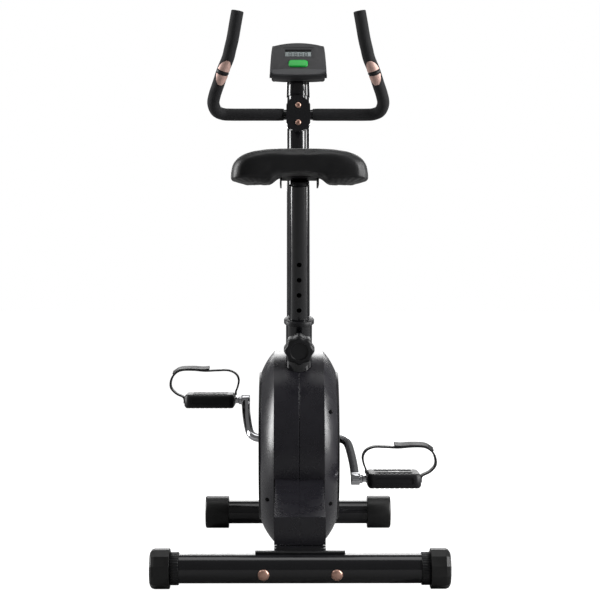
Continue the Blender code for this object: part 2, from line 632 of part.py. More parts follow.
def magnets():
    pivot = (0.0915 * math.cos(MAGNET_ANGLE), 0.0915 * math.sin(MAGNET_ANGLE))
    axis = empty("magnet_axis", (0, FLY_Y + pivot[0], FLY_Z + pivot[1]), (0, 0, 0), BIKE)
    centre = (-pivot[0], -pivot[1])
    arm = extruded(band(centre, 0.0900, 0.0930, math.degrees(MAGNET_ANGLE) + 2, 40, 14), -0.017, 0.017)
    bracket = add("magnet_bracket", arm, STEEL, axis)
    boolean(bracket, tool(rod(0.0065, -0.0168, 0.0168, "X", 20), axis), "UNION", "MANIFOLD")
    reach = FORK_THICK + 0.0025
    pivot_pin = rod(0.0042, -FORK_LEFT - reach, FORK_RIGHT + reach, "X", 16)
    boolean(bracket, tool(pivot_pin, axis), "UNION", "MANIFOLD")
    for middle in (-28, 0, 28):
        pad = extruded(band(centre, 0.0865, 0.0905, middle - 10, middle + 10, 5), -0.0125, 0.0125)
        boolean(bracket, tool(pad, axis), "UNION", "MANIFOLD")


def tension_cable():
    def on_post(height):
        return (0, FRONT_POST_Y + (height - FRONT_POST_Z) * math.tan(FRONT_LEAN), height)

    line = [on_post(z) for z in (0.753, 0.645, 0.530, 0.420, 0.310)]
    line += [(0, 0.5612, 0.283), (0, 0.5655, 0.2680), (0, 0.5850, 0.2640), (0, 0.6120, 0.2635),
             (0, 0.6350, 0.2560), (0, 0.6460, 0.2440)]
    add("tension_cable", swept_rod(smooth_line(line, 2), 0.0018, 6), BLACK_PLASTIC)


# Pedals

def pedals():
    strap_line = [(0.0530, -0.006), (0.0550, 0.006), (0.0700, 0.014), (0.0810, 0.026), (0.0815, 0.040),
                  (0.0750, 0.053), (0.0600, 0.0620), (0.0350, 0.0630), (0.0100, 0.0610),
                  (-0.0150, 0.0620), (-0.0380, 0.0620), (-0.0530, 0.0550), (-0.0590, 0.0430),
                  (-0.0570, 0.0290), (-0.0530, 0.0180), (-0.0530, 0.0115)]
    for side, sign in SIDES:
        out = -sign * CRANK_LENGTH
        place = (sign * PEDAL_MIDDLE, out * math.cos(CRANK_ANGLE), out * math.sin(CRANK_ANGLE))
        axis = empty(f"pedal_axis_{side}", place, (0, 0, 0), CRANK_HOME)
        half_x, half_y, half_z = PEDAL_WIDE / 2, PEDAL_LONG / 2, PEDAL_TALL / 2
        sections = []
        for z, grow in ((-half_z, -0.004), (-0.009, 0), (0.009, 0), (half_z, -0.004)):
            outline = rounded(half_x + grow, half_y + grow, 0.012 + grow, 3)
            sections.append([(a, b, z) for a, b in outline])
        body = add(f"pedal_{side}", loft(sections), BLACK_PLASTIC, axis)
        for near in (-1, 1):
            window = rounded(0.036, 0.0105, 0.004, 2, (0, near * 0.0235))
            boolean(body, tool(extruded(window, -0.03, 0.03, "Z"), axis))
        boolean(body, tool(rod(0.0066, *sorted((-sign * 0.06, sign * 0.0385)), "X", 20), axis))
        line = smooth_line([(sign * a, 0, b) for a, b in strap_line], 2)
        strap = ribbon([(p.x, p.z) for p in line], STRAP_THICK, -STRAP_WIDE / 2, STRAP_WIDE / 2)
        add(f"pedal_strap_{side}", strap, STRAP, axis)


# Saddle, its post and the pin that holds its height

def seat_post():
    low, high = POST_LOW, POST_HIGH
    post = add("seat_post", tube(POST_R, POST_WALL, low, high, "Z", 24), BLACK_PAINT, SEAT_AXIS)
    for k in range(-HOLES_BELOW, HOLES_ABOVE + 1):
        hole = rod(0.0047, -0.025, -0.010, "Y", 10)
        boolean(post, tool(hole, SEAT_AXIS, (0, 0, k * HOLE_PITCH)))


def pull_pin():
    pin = [(0, -0.0700), (0.0045, -0.0700), (0.0045, -0.0340), (0.0082, -0.0340), (0.0082, -0.0310),
           (0.0045, -0.0310), (0.0045, -0.0204), (0.0036, -0.0194), (0, -0.0194)]
    add("pull_pin", turned(pin, "Y", 16), STEEL, SEAT_AXIS)
    turns, steps = 4, 8
    coil = []
    for k in range(turns * steps + 1):
        angle = 2 * math.pi * k / steps
        height = -0.0350 - 0.0085 * k / (turns * steps)
        coil.append(Vector((0.0066 * math.cos(angle), height, 0.0066 * math.sin(angle))))
    add("pin_spring", swept_rod(coil, 0.0006, 4), STEEL, SEAT_AXIS)
    lobes, points = 8, 32

    def ring(height, scale):
        found = []
        for k in range(points):
            angle = 2 * math.pi * k / points
            radius = scale * 0.029 * (1 - 0.05 * (1 - math.cos(lobes * angle)))
            found.append((radius * math.cos(angle), height, radius * math.sin(angle)))
        return found

    shape = loft([ring(-0.0560, 0.82), ring(-0.0600, 1.0), ring(-0.0790, 1.0), ring(-0.0840, 0.90)])
    knob = add("height_knob", shape, BLACK_PLASTIC, SEAT_AXIS)
    boolean(knob, tool(turned([(0, -0.060), (0.0150, -0.060), (0.0150, -0.0475), (0, -0.0475)], "Y", 24),
                       SEAT_AXIS), "UNION")
    boolean(knob, tool(rod(0.0048, -0.0704, -0.04, "Y", 16), SEAT_AXIS))


def saddle():
    bracket = add("saddle_bracket", block((-0.036, 0.208, 0.7160), (0.036, 0.300, 0.7190)), BLACK_PAINT)
    for sign in (-1, 1):
        low, high = sorted((sign * 0.033, sign * 0.036))
        boolean(bracket, tool(block((low, 0.2081, 0.7020), (high, 0.2999, 0.7170))), "UNION")
    plug = rod(POST_R - POST_WALL - GAP, POST_HIGH - 0.035, POST_HIGH + 0.0085, "Z", 24)
    boolean(bracket, tool(plug, SEAT_AXIS), "UNION")
    base = rounded(0.034, 0.070, 0.012, 3, (0, 0.250))
    add("saddle_base", extruded(base, 0.7193, SADDLE_BASE_Z - GAP, "Z"), BLACK_PLASTIC)
    outline = smooth_line([(0.135, 0.050, 0), (0.140, 0.094, 0), (0.160, 0.118, 0), (0.190, 0.125, 0),
                           (0.225, 0.117, 0), (0.262, 0.090, 0), (0.300, 0.060, 0), (0.345, 0.044, 0),
                           (0.385, 0.036, 0), (0.400, 0.024, 0), (0.405, 0.010, 0)], 1)
    sections = []
    for y, half, _ in outline:
        edge = min(1.0, (y - 0.130) / 0.025, (0.412 - y) / 0.025)
        top = 0.7600 - 0.006 * (y - 0.19) / 0.2 - 0.012 * (1 - edge)
        low = 0.7000 + 0.0240 * min(1.0, max(0.0, (y - 0.200) / 0.090)) + 0.010 * (1 - edge)
        middle, tall = (top + low) / 2, (top - low) / 2
        section = []
        for k in range(13):
            cosine, sine = math.cos(math.pi * k / 12), math.sin(math.pi * k / 12)
            x = half * math.copysign(abs(cosine) ** 0.62, cosine)
            crown = 0.003 * (1 - (x / half) ** 2)
            section.append((x, y, middle + tall * abs(sine) ** 0.62 + crown))
        arch, lobe = min(0.0400, 0.63 * half), min(0.0470, 0.74 * half)
        under = [(0.97 * half, 0.45), (0.86 * half, 0.88), (0.78 * half, 1.0), (lobe, 0.97)]
        under = [(x, middle - tall * share) for x, share in under]
        under.append((arch, max(low, SADDLE_BASE_Z)))
        section += [(-x, y, z) for x, z in under]
        section += [(x, y, z) for x, z in reversed(under)]
        sections.append(section)
    add("saddle_cushion", loft(sections), VINYL)


# Handlebar

def bar_line():
    """Centreline from the left tip to the right tip, and the directions square to it."""
    half = [(0.1236, 0.500, 1.077), (0.1286, 0.503, 1.050), (0.1338, 0.508, 1.022), (0.1390, 0.5138, 1.002),
            (0.1442, 0.520, 0.983), (0.1547, 0.530, 0.960), (0.1642, 0.545, 0.9355),
            (0.1725, 0.557, 0.914), (0.1762, 0.571, 0.898), (0.1710, 0.587, 0.8845), (0.1580, 0.597, 0.8790),
            (0.1400, BAR_Y, BAR_Z), (0.0900, BAR_Y, BAR_Z), (GRIP_START, BAR_Y, BAR_Z)]
    line = [Vector((-x, y, z)) for x, y, z in half]
    line += [Vector((x, y, z)) for x, y, z in reversed(half)]
    home = Vector((0, BAR_Y, BAR_Z))
    line = [p - home for p in line]
    fine = []
    for k, p in enumerate(line):
        fine.append(p)
        if 6 <= min(k, len(line) - 2 - k) <= 10:
            a, b, c, d = line[k - 1], p, line[k + 1], line[k + 2]
            fine.append((9 * (b + c) - a - d) / 16)
    return fine


def handlebar():
    path = bar_line()
    frames = frames_along(path)
    add("handlebar", swept_tube(path, frames, BAR_R, BAR_R - BAR_WALL), BLACK_PAINT, BAR_AXIS)
    half = len(path) // 2
    for side, part in (("left", slice(0, half)), ("right", slice(half, None))):
        grip = swept_tube(path[part], frames[part], GRIP_R, BAR_R + GAP)
        add(f"grip_{side}", grip, FOAM, BAR_AXIS)
        pick = slice(3, 7) if side == "left" else slice(len(path) - 7, len(path) - 3)
        sensor = swept_tube(path[pick], frames[pick], GRIP_R + 0.0014, GRIP_R + 0.00035)
        add(f"pulse_sensor_{side}", sensor, COPPER, BAR_AXIS)


# Console

def console():
    outline = [(-0.0560, 0.030), (-0.0500, 0.0385), (-0.0250, 0.0450), (0, 0.0470), (0.0250, 0.0450),
               (0.0500, 0.0385), (0.0560, 0.030), (0.0597, -0.038), (0.0570, -0.0445), (0.0300, -0.0475),
               (0, -0.0485), (-0.0300, -0.0475), (-0.0570, -0.0445), (-0.0597, -0.038)]
    edge = [(a * 0.97, b * 0.97) for a, b in outline]
    levels = ((-BEZEL_HALF, edge), (-BEZEL_HALF + 0.002, outline), (BEZEL_HALF, outline))
    front = add("console_front", loft([[(a, y, b) for a, b in loop] for y, loop in levels]),
                CONSOLE_PLASTIC, CONSOLE_AXIS)
    window = block((-0.0280, -0.010, 0.0075), (0.0280, 0.010, 0.0275))
    boolean(front, tool(window, CONSOLE_AXIS))
    hole = extruded(rounded(0.0207, 0.0102, 0.005, 3, (0, BUTTON_HEIGHT)), -0.010, 0.010, "Y")
    boolean(front, tool(hole, CONSOLE_AXIS))
    pane = block((-0.0277, -0.0045, 0.0078), (0.0277, -0.0025, 0.0272))
    add("display_window", pane, GLASS, CONSOLE_AXIS)

    def shrunk(above, below, y):
        return [(a * above, y, b * (above if b > 0 else below)) for a, b in outline]

    tub = add("console_back", loft([shrunk(0.93, 0.93, BEZEL_HALF + GAP), shrunk(0.93, 0.82, TUB_MIDDLE),
                                    shrunk(0.80, 0.62, TUB_BACK)]), CONSOLE_PLASTIC, CONSOLE_AXIS)
    room = loft([shrunk(0.88, 0.88, 0.0), shrunk(0.88, 0.77, TUB_MIDDLE - 0.001),
                 shrunk(0.74, 0.57, TUB_BACK - 0.0025)])
    boolean(tub, tool(room, CONSOLE_AXIS))
    button_axis = empty("button_axis", (0, 0, BUTTON_HEIGHT), (0, 0, 0), CONSOLE_AXIS)
    face, flange = BEZEL_HALF + 0.0020, BEZEL_HALF + 2 * GAP
    sections = []
    for y, grow in ((-face, -0.0016), (-face + 0.0012, 0.0), (flange, 0.0), (flange, 0.0022),
                    (flange + 0.0015, 0.0022)):
        loop = rounded(0.0202 + grow, 0.0097 + grow, 0.0047 + grow, 3)
        sections.append([(a, y, b) for a, b in loop])
    add("mode_button", loft(sections), GREEN, button_axis)
    neck = [(0.010, 0.5260), (0.0217, 0.5260), (0.0217, FRONT_POST_HIGH + GAP),
            (0.0250, FRONT_POST_HIGH + GAP), (0.0243, 0.5920), (0.010, 0.5920)]
    sleeve = add("neck_sleeve", turned(neck, "Z", 24), BLACK_PLASTIC, FRONT_AXIS)
    room = [(-0.2, -0.0457), (BEZEL_HALF, -0.0457), (TUB_MIDDLE, -0.0404), (TUB_BACK + GAP, -0.0307),
            (TUB_BACK + GAP, 0.2), (-0.2, 0.2)]
    boolean(sleeve, tool(extruded(room, -0.2, 0.2), CONSOLE_AXIS))


def tension_knob():
    axis = empty("knob_axis", (0, 0, KNOB_HEIGHT), (0, 0, 0), FRONT_AXIS)
    shape = [(0, -0.0600), (0.0170, -0.0600), (0.0200, -0.0580), (0.0215, -0.0420), (0.0200, -0.0400),
             (0.0130, -0.0400), (0.0130, -0.0247), (0.0042, -0.0247), (0.0042, -0.0120), (0, -0.0120)]
    knob = add("tension_knob", turned(shape, "Y", 24), BLACK_PLASTIC, axis)
    boolean(knob, tool(block((-0.0025, -0.0625, -0.019), (0.0025, -0.0590, 0.019)), axis), "UNION")


# The whole bike, from its axes

SEAT_AXIS = empty("seat_axis", (0, PIN_Y, PIN_Z), (SEAT_LEAN, 0, 0), BIKE)
FRONT_AXIS = empty("front_axis", (0, FRONT_POST_Y, FRONT_POST_Z), (-FRONT_LEAN, 0, 0), BIKE)
CRANK_HOME = empty("crank_home", (0, CRANK_Y, CRANK_Z), (0, 0, 0), BIKE)
CRANK_AXIS = empty("crank_axis", (0, 0, 0), (0, 0, 0), CRANK_HOME)
BAR_AXIS = empty("bar_axis", (0, BAR_Y, BAR_Z), (0, 0, 0), BIKE)
CONSOLE_AXIS = empty("console_axis", (0, CONSOLE_Y, CONSOLE_Z), (-CONSOLE_TILT, 0, 0), BIKE)

rear_stabilizer()
front_stabilizer()
main_beam()
seat_tube()
post_bushing()
bottom_bracket()
fork()
front_post()
clamp()
shroud()
crank()
pulleys()
belt()
magnets()
tension_cable()
pedals()
seat_post()
pull_pin()
saddle()
handlebar()
console()
tension_knob()
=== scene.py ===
"""The looks of an upright exercise bike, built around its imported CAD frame.

Sizes are in metres, +Z is up and the rider faces +Y.
"""

import json
import math

import bmesh
import bpy
from mathutils import Matrix, Vector
from mathutils.bvhtree import BVHTree


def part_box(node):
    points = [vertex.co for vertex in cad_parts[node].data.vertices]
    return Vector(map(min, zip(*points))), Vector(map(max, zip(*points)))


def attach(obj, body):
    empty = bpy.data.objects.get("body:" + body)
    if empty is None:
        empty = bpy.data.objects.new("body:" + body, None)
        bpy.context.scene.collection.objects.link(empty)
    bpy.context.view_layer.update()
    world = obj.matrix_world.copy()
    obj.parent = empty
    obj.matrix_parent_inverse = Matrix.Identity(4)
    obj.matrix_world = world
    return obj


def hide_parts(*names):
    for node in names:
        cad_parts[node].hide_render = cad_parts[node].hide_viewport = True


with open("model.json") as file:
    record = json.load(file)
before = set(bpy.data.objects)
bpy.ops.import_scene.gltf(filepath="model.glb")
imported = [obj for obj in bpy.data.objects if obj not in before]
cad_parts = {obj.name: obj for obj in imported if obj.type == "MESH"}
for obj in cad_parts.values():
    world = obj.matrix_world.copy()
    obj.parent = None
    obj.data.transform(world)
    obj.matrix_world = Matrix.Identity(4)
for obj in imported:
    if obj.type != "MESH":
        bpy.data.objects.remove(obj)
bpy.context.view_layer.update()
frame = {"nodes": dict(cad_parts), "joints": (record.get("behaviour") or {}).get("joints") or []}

# Places, from the frame's joints

JOINTS = {joint["name"]: joint for joint in frame["joints"]}


def joint_point(name):
    return Vector(JOINTS[name]["pos_m"])


def joint_axis(name):
    return Vector(JOINTS[name]["axis"])


FOOT = joint_point("left_foot_turn")
CRANK = joint_point("crank_spin")
BAR = joint_point("handlebar_tilt")
REAR_Z = FOOT.z
SEAT_LEAN = math.atan2(-joint_axis("seat_height").y, joint_axis("seat_height").z)
FRONT_LEAN = math.atan2(joint_axis("tension_turn").z, -joint_axis("tension_turn").y)
CONSOLE_TILT = math.atan2(-joint_axis("button_press").z, joint_axis("button_press").y)
KNOB_HEIGHT = 0.3825
BOLT_X, BOLT_TILT = 0.062, math.radians(16)
FRONT_Y, FRONT_Z = 0.695, 0.0335
CONSOLE_Y, CONSOLE_Z = 0.277, 0.996

BIKE = Matrix.Translation((0, FOOT.y, 0))
REAR = Matrix.Translation((0, FOOT.y, FOOT.z))
REAR_BOLTS = REAR @ Matrix.Rotation(BOLT_TILT, 4, "X")
FRONT_FOOT = BIKE @ Matrix.Translation((0, FRONT_Y, FRONT_Z))
SEAT = Matrix.Translation(joint_point("height_knob_turn")) @ Matrix.Rotation(SEAT_LEAN, 4, "X")
POST = (Matrix.Translation(joint_point("tension_turn")) @ Matrix.Rotation(-FRONT_LEAN, 4, "X")
        @ Matrix.Translation((0, 0, -KNOB_HEIGHT)))
DRIVE = Matrix.Translation(CRANK)
BARS = Matrix.Translation(BAR)
CONSOLE = Matrix.Translation((0, CONSOLE_Y, CONSOLE_Z)) @ Matrix.Rotation(-CONSOLE_TILT, 4, "X")
SIDES = (("left", -1), ("right", 1))

# Sizes shared with the CAD model

GAP = 0.0003
TUBE_R, WALL = 0.025, 0.002
REAR_HALF, FRONT_HALF = 0.206, 0.162
CRANK_LENGTH, CRANK_ANGLE, CRANK_R = 0.127, math.radians(33), 0.00825
BAR_R, GRIP_R, GRIP_START = 0.011, 0.0128, 0.030
POST_R, FRONT_POST_R = 0.019, 0.024
POST_WALL, POST_LOW, POST_HIGH = 0.0018, -0.095, 0.300
HOLE_PITCH, HOLES_BELOW, HOLES_ABOVE = 0.030, 2, 5
CLAMP_BOLT = 0.018
COVER_R, COVER_THICK = 0.146, 0.0037
ROUND = 72


# Materials

def surface(name, colour, roughness, metallic=0.0, grain=900.0, bump=0.06, spread=0.06, tint=0.15,
            coat=0.0, sheen=0.0, cells=False, streak=(1, 1, 1), specular=0.5):
    """A shader whose colour, roughness and fine relief vary over the surface.

    tint is how far the colour wanders, and spread how far the roughness does.
    """
    made = bpy.data.materials.new(name)
    made.use_nodes = True
    nodes, links = made.node_tree.nodes, made.node_tree.links
    shader = nodes["Principled BSDF"]
    shader.inputs["Metallic"].default_value = metallic
    shader.inputs["Specular IOR Level"].default_value = specular
    shader.inputs["Coat Weight"].default_value = coat
    shader.inputs["Coat Roughness"].default_value = 0.08
    shader.inputs["Sheen Weight"].default_value = sheen
    shader.inputs["Sheen Roughness"].default_value = 0.5
    place = nodes.new("ShaderNodeTexCoord")
    stretch = nodes.new("ShaderNodeMapping")
    stretch.inputs["Scale"].default_value = streak
    links.new(place.outputs["Object"], stretch.inputs["Vector"])
    if cells:
        fine = nodes.new("ShaderNodeTexVoronoi")
        fine.feature = "SMOOTH_F1"
        relief = fine.outputs["Distance"]
    else:
        fine = nodes.new("ShaderNodeTexNoise")
        fine.inputs["Detail"].default_value = 4.0
        relief = fine.outputs["Fac"]
    fine.inputs["Scale"].default_value = grain
    links.new(stretch.outputs["Vector"], fine.inputs["Vector"])
    raised = nodes.new("ShaderNodeBump")
    raised.inputs["Strength"].default_value = bump
    raised.inputs["Distance"].default_value = 0.0004
    links.new(relief, raised.inputs["Height"])
    links.new(raised.outputs["Normal"], shader.inputs["Normal"])
    broad = nodes.new("ShaderNodeTexNoise")
    broad.inputs["Scale"].default_value = 34.0
    broad.inputs["Detail"].default_value = 6.0
    links.new(stretch.outputs["Vector"], broad.inputs["Vector"])
    shine = nodes.new("ShaderNodeMapRange")
    shine.inputs["From Min"].default_value = 0.3
    shine.inputs["From Max"].default_value = 0.7
    shine.inputs["To Min"].default_value = max(0.02, roughness - spread)
    shine.inputs["To Max"].default_value = min(1.0, roughness + spread)
    links.new(broad.outputs["Fac"], shine.inputs["Value"])
    links.new(shine.outputs["Result"], shader.inputs["Roughness"])
    shade = nodes.new("ShaderNodeMix")
    shade.data_type = "RGBA"
    dark = tuple(c * (1 - tint) for c in colour)
    light = tuple(min(1.0, c * (1 + tint)) for c in colour)
    shade.inputs["A"].default_value = (*dark, 1.0)
    shade.inputs["B"].default_value = (*light, 1.0)
    links.new(broad.outputs["Fac"], shade.inputs["Factor"])
    links.new(shade.outputs["Result"], shader.inputs["Base Color"])
    return made


PAINT = surface("gloss_black_paint", (0.006, 0.006, 0.007), 0.17, grain=420, bump=0.02, spread=0.02,
                coat=0.35, specular=0.36)
SATIN = surface("satin_black_paint", (0.005, 0.005, 0.006), 0.50, grain=700, bump=0.10, specular=0.16)
SHROUD_SKIN = surface("moulded_grey_plastic", (0.010, 0.0095, 0.0125), 0.28, grain=1500, bump=0.08,
                      spread=0.04, specular=0.48)
COVER_SKIN = surface("cover_plastic", (0.006, 0.006, 0.007), 0.42, grain=1500, bump=0.18, specular=0.30)
BLACK = surface("black_moulding", (0.007, 0.007, 0.008), 0.40, grain=1600, bump=0.20, specular=0.30)
CONSOLE_SKIN = surface("console_plastic_skin", (0.022, 0.022, 0.024), 0.48, grain=1900, bump=0.24,
                       specular=0.35)
# Painted light: the console lip is a lighter grey copy of the console plastic, standing in for light caught
# by its bevel.
LIP_PAINTED_LIGHT_SKIN = surface("console_lip_plastic_painted_light", (0.044, 0.045, 0.048), 0.44, grain=1900, bump=0.20, specular=0.40)
RUBBER = surface("moulded_rubber", (0.005, 0.005, 0.005), 0.40, grain=1100, bump=0.14, spread=0.06,
                 specular=0.36)
SENSOR_SKIN = surface("satin_rose_plate", (0.44, 0.29, 0.25), 0.50, 0.35, grain=1500, bump=0.05, tint=0.06)
ROSE = surface("rose_plate", (0.56, 0.34, 0.27), 0.38, 0.85, grain=1500, bump=0.03, spread=0.04, tint=0.06)
CHROME = surface("polished_chrome", (0.62, 0.62, 0.64), 0.10, 1.0, grain=300, bump=0.01, spread=0.03,
                 tint=0.04)
STEEL = surface("zinc_steel", (0.48, 0.48, 0.50), 0.34, 1.0, grain=600, bump=0.08, streak=(9, 1, 1))
IRON = surface("machined_iron", (0.20, 0.20, 0.21), 0.50, 1.0, grain=500, bump=0.16, streak=(1, 8, 8))
FOAM = surface("closed_foam", (0.007, 0.007, 0.008), 0.80, grain=1300, bump=0.85, spread=0.06, sheen=0.04,
               cells=True, specular=0.25)
VINYL = surface("grained_vinyl", (0.006, 0.006, 0.0065), 0.44, grain=620, bump=0.50, spread=0.07, sheen=0.03,
                cells=True, specular=0.30)
STRAP = surface("strap_rubber", (0.007, 0.007, 0.008), 0.50, grain=1400, bump=0.30, specular=0.30)
LCD = surface("lcd_pane", (0.165, 0.195, 0.195), 0.28, grain=300, bump=0.01, spread=0.03, tint=0.05)
INK = surface("black_print", (0.005, 0.005, 0.005), 0.60, grain=900, bump=0.03, specular=0.1)
GREEN = surface("green_moulding", (0.0, 0.36, 0.035), 0.40, grain=1200, bump=0.06, tint=0.08)
PALE = surface("pale_badge_plate", (0.60, 0.60, 0.60), 0.40, grain=900, bump=0.10)


# Forms

AXES = {
    "X": Matrix(((0, 0, 1), (1, 0, 0), (0, 1, 0))),
    "Y": Matrix(((0, 1, 0), (0, 0, 1), (1, 0, 0))),
    "Z": Matrix.Identity(3),
}


def turned(profile, axis="Z", sides=ROUND, waves=None):
    """Turns (radius, height) points about an axis.

    waves(angle, height) scales the radius, for lobes and ribs.
    """
    form = bmesh.new()
    place = AXES[axis]
    rings = []
    for radius, height in profile:
        if radius == 0:
            rings.append([form.verts.new(place @ Vector((0, 0, height)))])
            continue
        ring = []
        for k in range(sides):
            angle = 2 * math.pi * (k + 0.5) / sides
            reach = radius * (waves(angle, height) if waves else 1)
            point = Vector((reach * math.cos(angle), reach * math.sin(angle), height))
            ring.append(form.verts.new(place @ point))
        rings.append(ring)
    closed = profile[0][0] > 0
    pairs = list(zip(rings, rings[1:] + rings[:1])) if closed else list(zip(rings, rings[1:]))
    for first, second in pairs:
        for k in range(sides):
            n = (k + 1) % sides
            corners = [first[k % len(first)], first[n % len(first)]]
            corners += [second[n % len(second)], second[k % len(second)]]
            form.faces.new(list(dict.fromkeys(corners)))
    return form


def mirrored(profile, sign):
    return [(radius, sign * height) for radius, height in profile]


def tube(radius, wall, low, high, axis="Z", lip=0.0004):
    """A tube whose four end edges are broken by a small chamfer."""
    inner = radius - wall
    shape = [(radius, low + lip), (radius, high - lip), (radius - lip, high), (inner + lip, high),
             (inner, high - lip), (inner, low + lip), (inner + lip, low), (radius - lip, low)]
    return turned(shape, axis)


def rod(radius, low, high, axis="Z", sides=32):
    return turned([(0, low), (radius, low), (radius, high), (0, high)], axis, sides)


def loft(sections, capped=True):
    form = bmesh.new()
    rings = [[form.verts.new(p) for p in section] for section in sections]
    for first, second in zip(rings, rings[1:]):
        for k in range(len(first)):
            n = (k + 1) % len(first)
            form.faces.new((first[k], first[n], second[n], second[k]))
    if capped:
        form.faces.new(rings[0])
        form.faces.new(list(reversed(rings[-1])))
    return form


def lifted(a, b, h, axis):
    return {"X": (h, a, b), "Y": (a, h, b), "Z": (a, b, h)}[axis]


def extruded(outline, low, high, axis="X"):
    return loft([[lifted(a, b, h, axis) for a, b in outline] for h in (low, high)])


def hoop(outer, inner, low, high, axis="X"):
    """Extrudes the band between two outlines of equal count."""
    loops = ((outer, low), (outer, high), (inner, high), (inner, low), (outer, low))
    form = loft([[lifted(a, b, h, axis) for a, b in outline] for outline, h in loops], False)
    bmesh.ops.remove_doubles(form, verts=form.verts, dist=1e-6)
    return form


def block(low, high):
    (x0, y0, z0), (x1, y1, z1) = low, high
    return extruded([(x0, y0), (x1, y0), (x1, y1), (x0, y1)], z0, z1, "Z")


def arc(centre, radius, start, end, steps):
    found = []
    for k in range(steps + 1):
        angle = math.radians(start + (end - start) * k / steps)
        found.append((centre[0] + radius * math.cos(angle), centre[1] + radius * math.sin(angle)))
    return found


def band(centre, inner, outer, start, end, steps):
    return arc(centre, outer, start, end, steps) + arc(centre, inner, end, start, steps)


def rounded(half_a, half_b, radius, steps=8, centre=(0, 0)):
    found = []
    for k, (sa, sb) in enumerate(((1, 1), (-1, 1), (-1, -1), (1, -1))):
        middle = (centre[0] + sa * (half_a - radius), centre[1] + sb * (half_b - radius))
        found += arc(middle, radius, 90 * k, 90 * k + 90, steps)
    return found


def smooth_line(points, steps):
    """Points of a Catmull-Rom curve through the given ones."""
    points = [Vector(p) for p in points]
    ends = [2 * points[0] - points[1], *points, 2 * points[-1] - points[-2]]
    found = []
    for a, b, c, d in zip(ends, ends[1:], ends[2:], ends[3:]):
        for k in range(steps):
            t = k / steps
            found.append(0.5 * (2 * b + t * (c - a) + t * t * (2 * a - 5 * b + 4 * c - d)
                                + t ** 3 * (3 * b - a - 3 * c + d)))
    found.append(points[-1])
    return found


def frames_along(path):
    tangents = []
    for k in range(len(path)):
        tangents.append((path[min(k + 1, len(path) - 1)] - path[max(k - 1, 0)]).normalized())
    side = tangents[0].orthogonal().normalized()
    found = []
    for tangent in tangents:
        side = (side - tangent * side.dot(tangent)).normalized()
        found.append((side, tangent.cross(side)))
    return found


def swept(path, radii, sides=40):
    """A round bar along a path, with a radius for each of its points."""
    sections = []
    for point, (side, up), radius in zip(path, frames_along(path), radii):
        ring = []
        for k in range(sides):
            angle = 2 * math.pi * k / sides
            ring.append(point + radius * (math.cos(angle) * side + math.sin(angle) * up))
        sections.append(ring)
    return loft(sections)


# Making pieces

def raw(name, form, place):
    bmesh.ops.recalc_face_normals(form, faces=form.faces)
    mesh = bpy.data.meshes.new(name)
    form.to_mesh(mesh)
    form.free()
    mesh.transform(place)
    made = bpy.data.objects.new(name, mesh)
    bpy.context.scene.collection.objects.link(made)
    return made


def settle(made):
    """Turns a piece's modifiers into its mesh."""
    bpy.context.view_layer.update()
    graph = bpy.context.evaluated_depsgraph_get()
    mesh = bpy.data.meshes.new_from_object(made.evaluated_get(graph))
    made.modifiers.clear()
    made.data = mesh


def carve(made, form, place, operation="DIFFERENCE", solver="EXACT"):
    other = raw("tool", form, place)
    step = made.modifiers.new("carve", "BOOLEAN")
    step.operation = operation
    step.solver = solver
    step.object = other
    settle(made)
    bpy.data.objects.remove(other)


def dress(made, material, body, stands_for=(), bevel=0.0, sharp=38):
    """Breaks a piece's edges, gives it its material, and lets it ride on its body."""
    if bevel:
        step = made.modifiers.new("edges", "BEVEL")
        step.width = bevel
        step.segments = 2
        step.limit_method = "ANGLE"
        step.angle_limit = math.radians(42)
        settle(made)
    made.data.materials.clear()
    made.data.materials.append(material)
    made.data.shade_smooth()
    made.data.set_sharp_from_angle(angle=math.radians(sharp))
    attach(made, body)
    if stands_for:
        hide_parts(*stands_for)
    return made


def piece(name, form, place, material, body, stands_for=(), bevel=0.0, cuts=(), sharp=38):
    """cuts holds (form, place, operation) steps."""
    made = raw(name, form, place)
    for step in cuts:
        carve(made, *step)
    return dress(made, material, body, stands_for, bevel, sharp)


# Stabilizers, caps and bolts

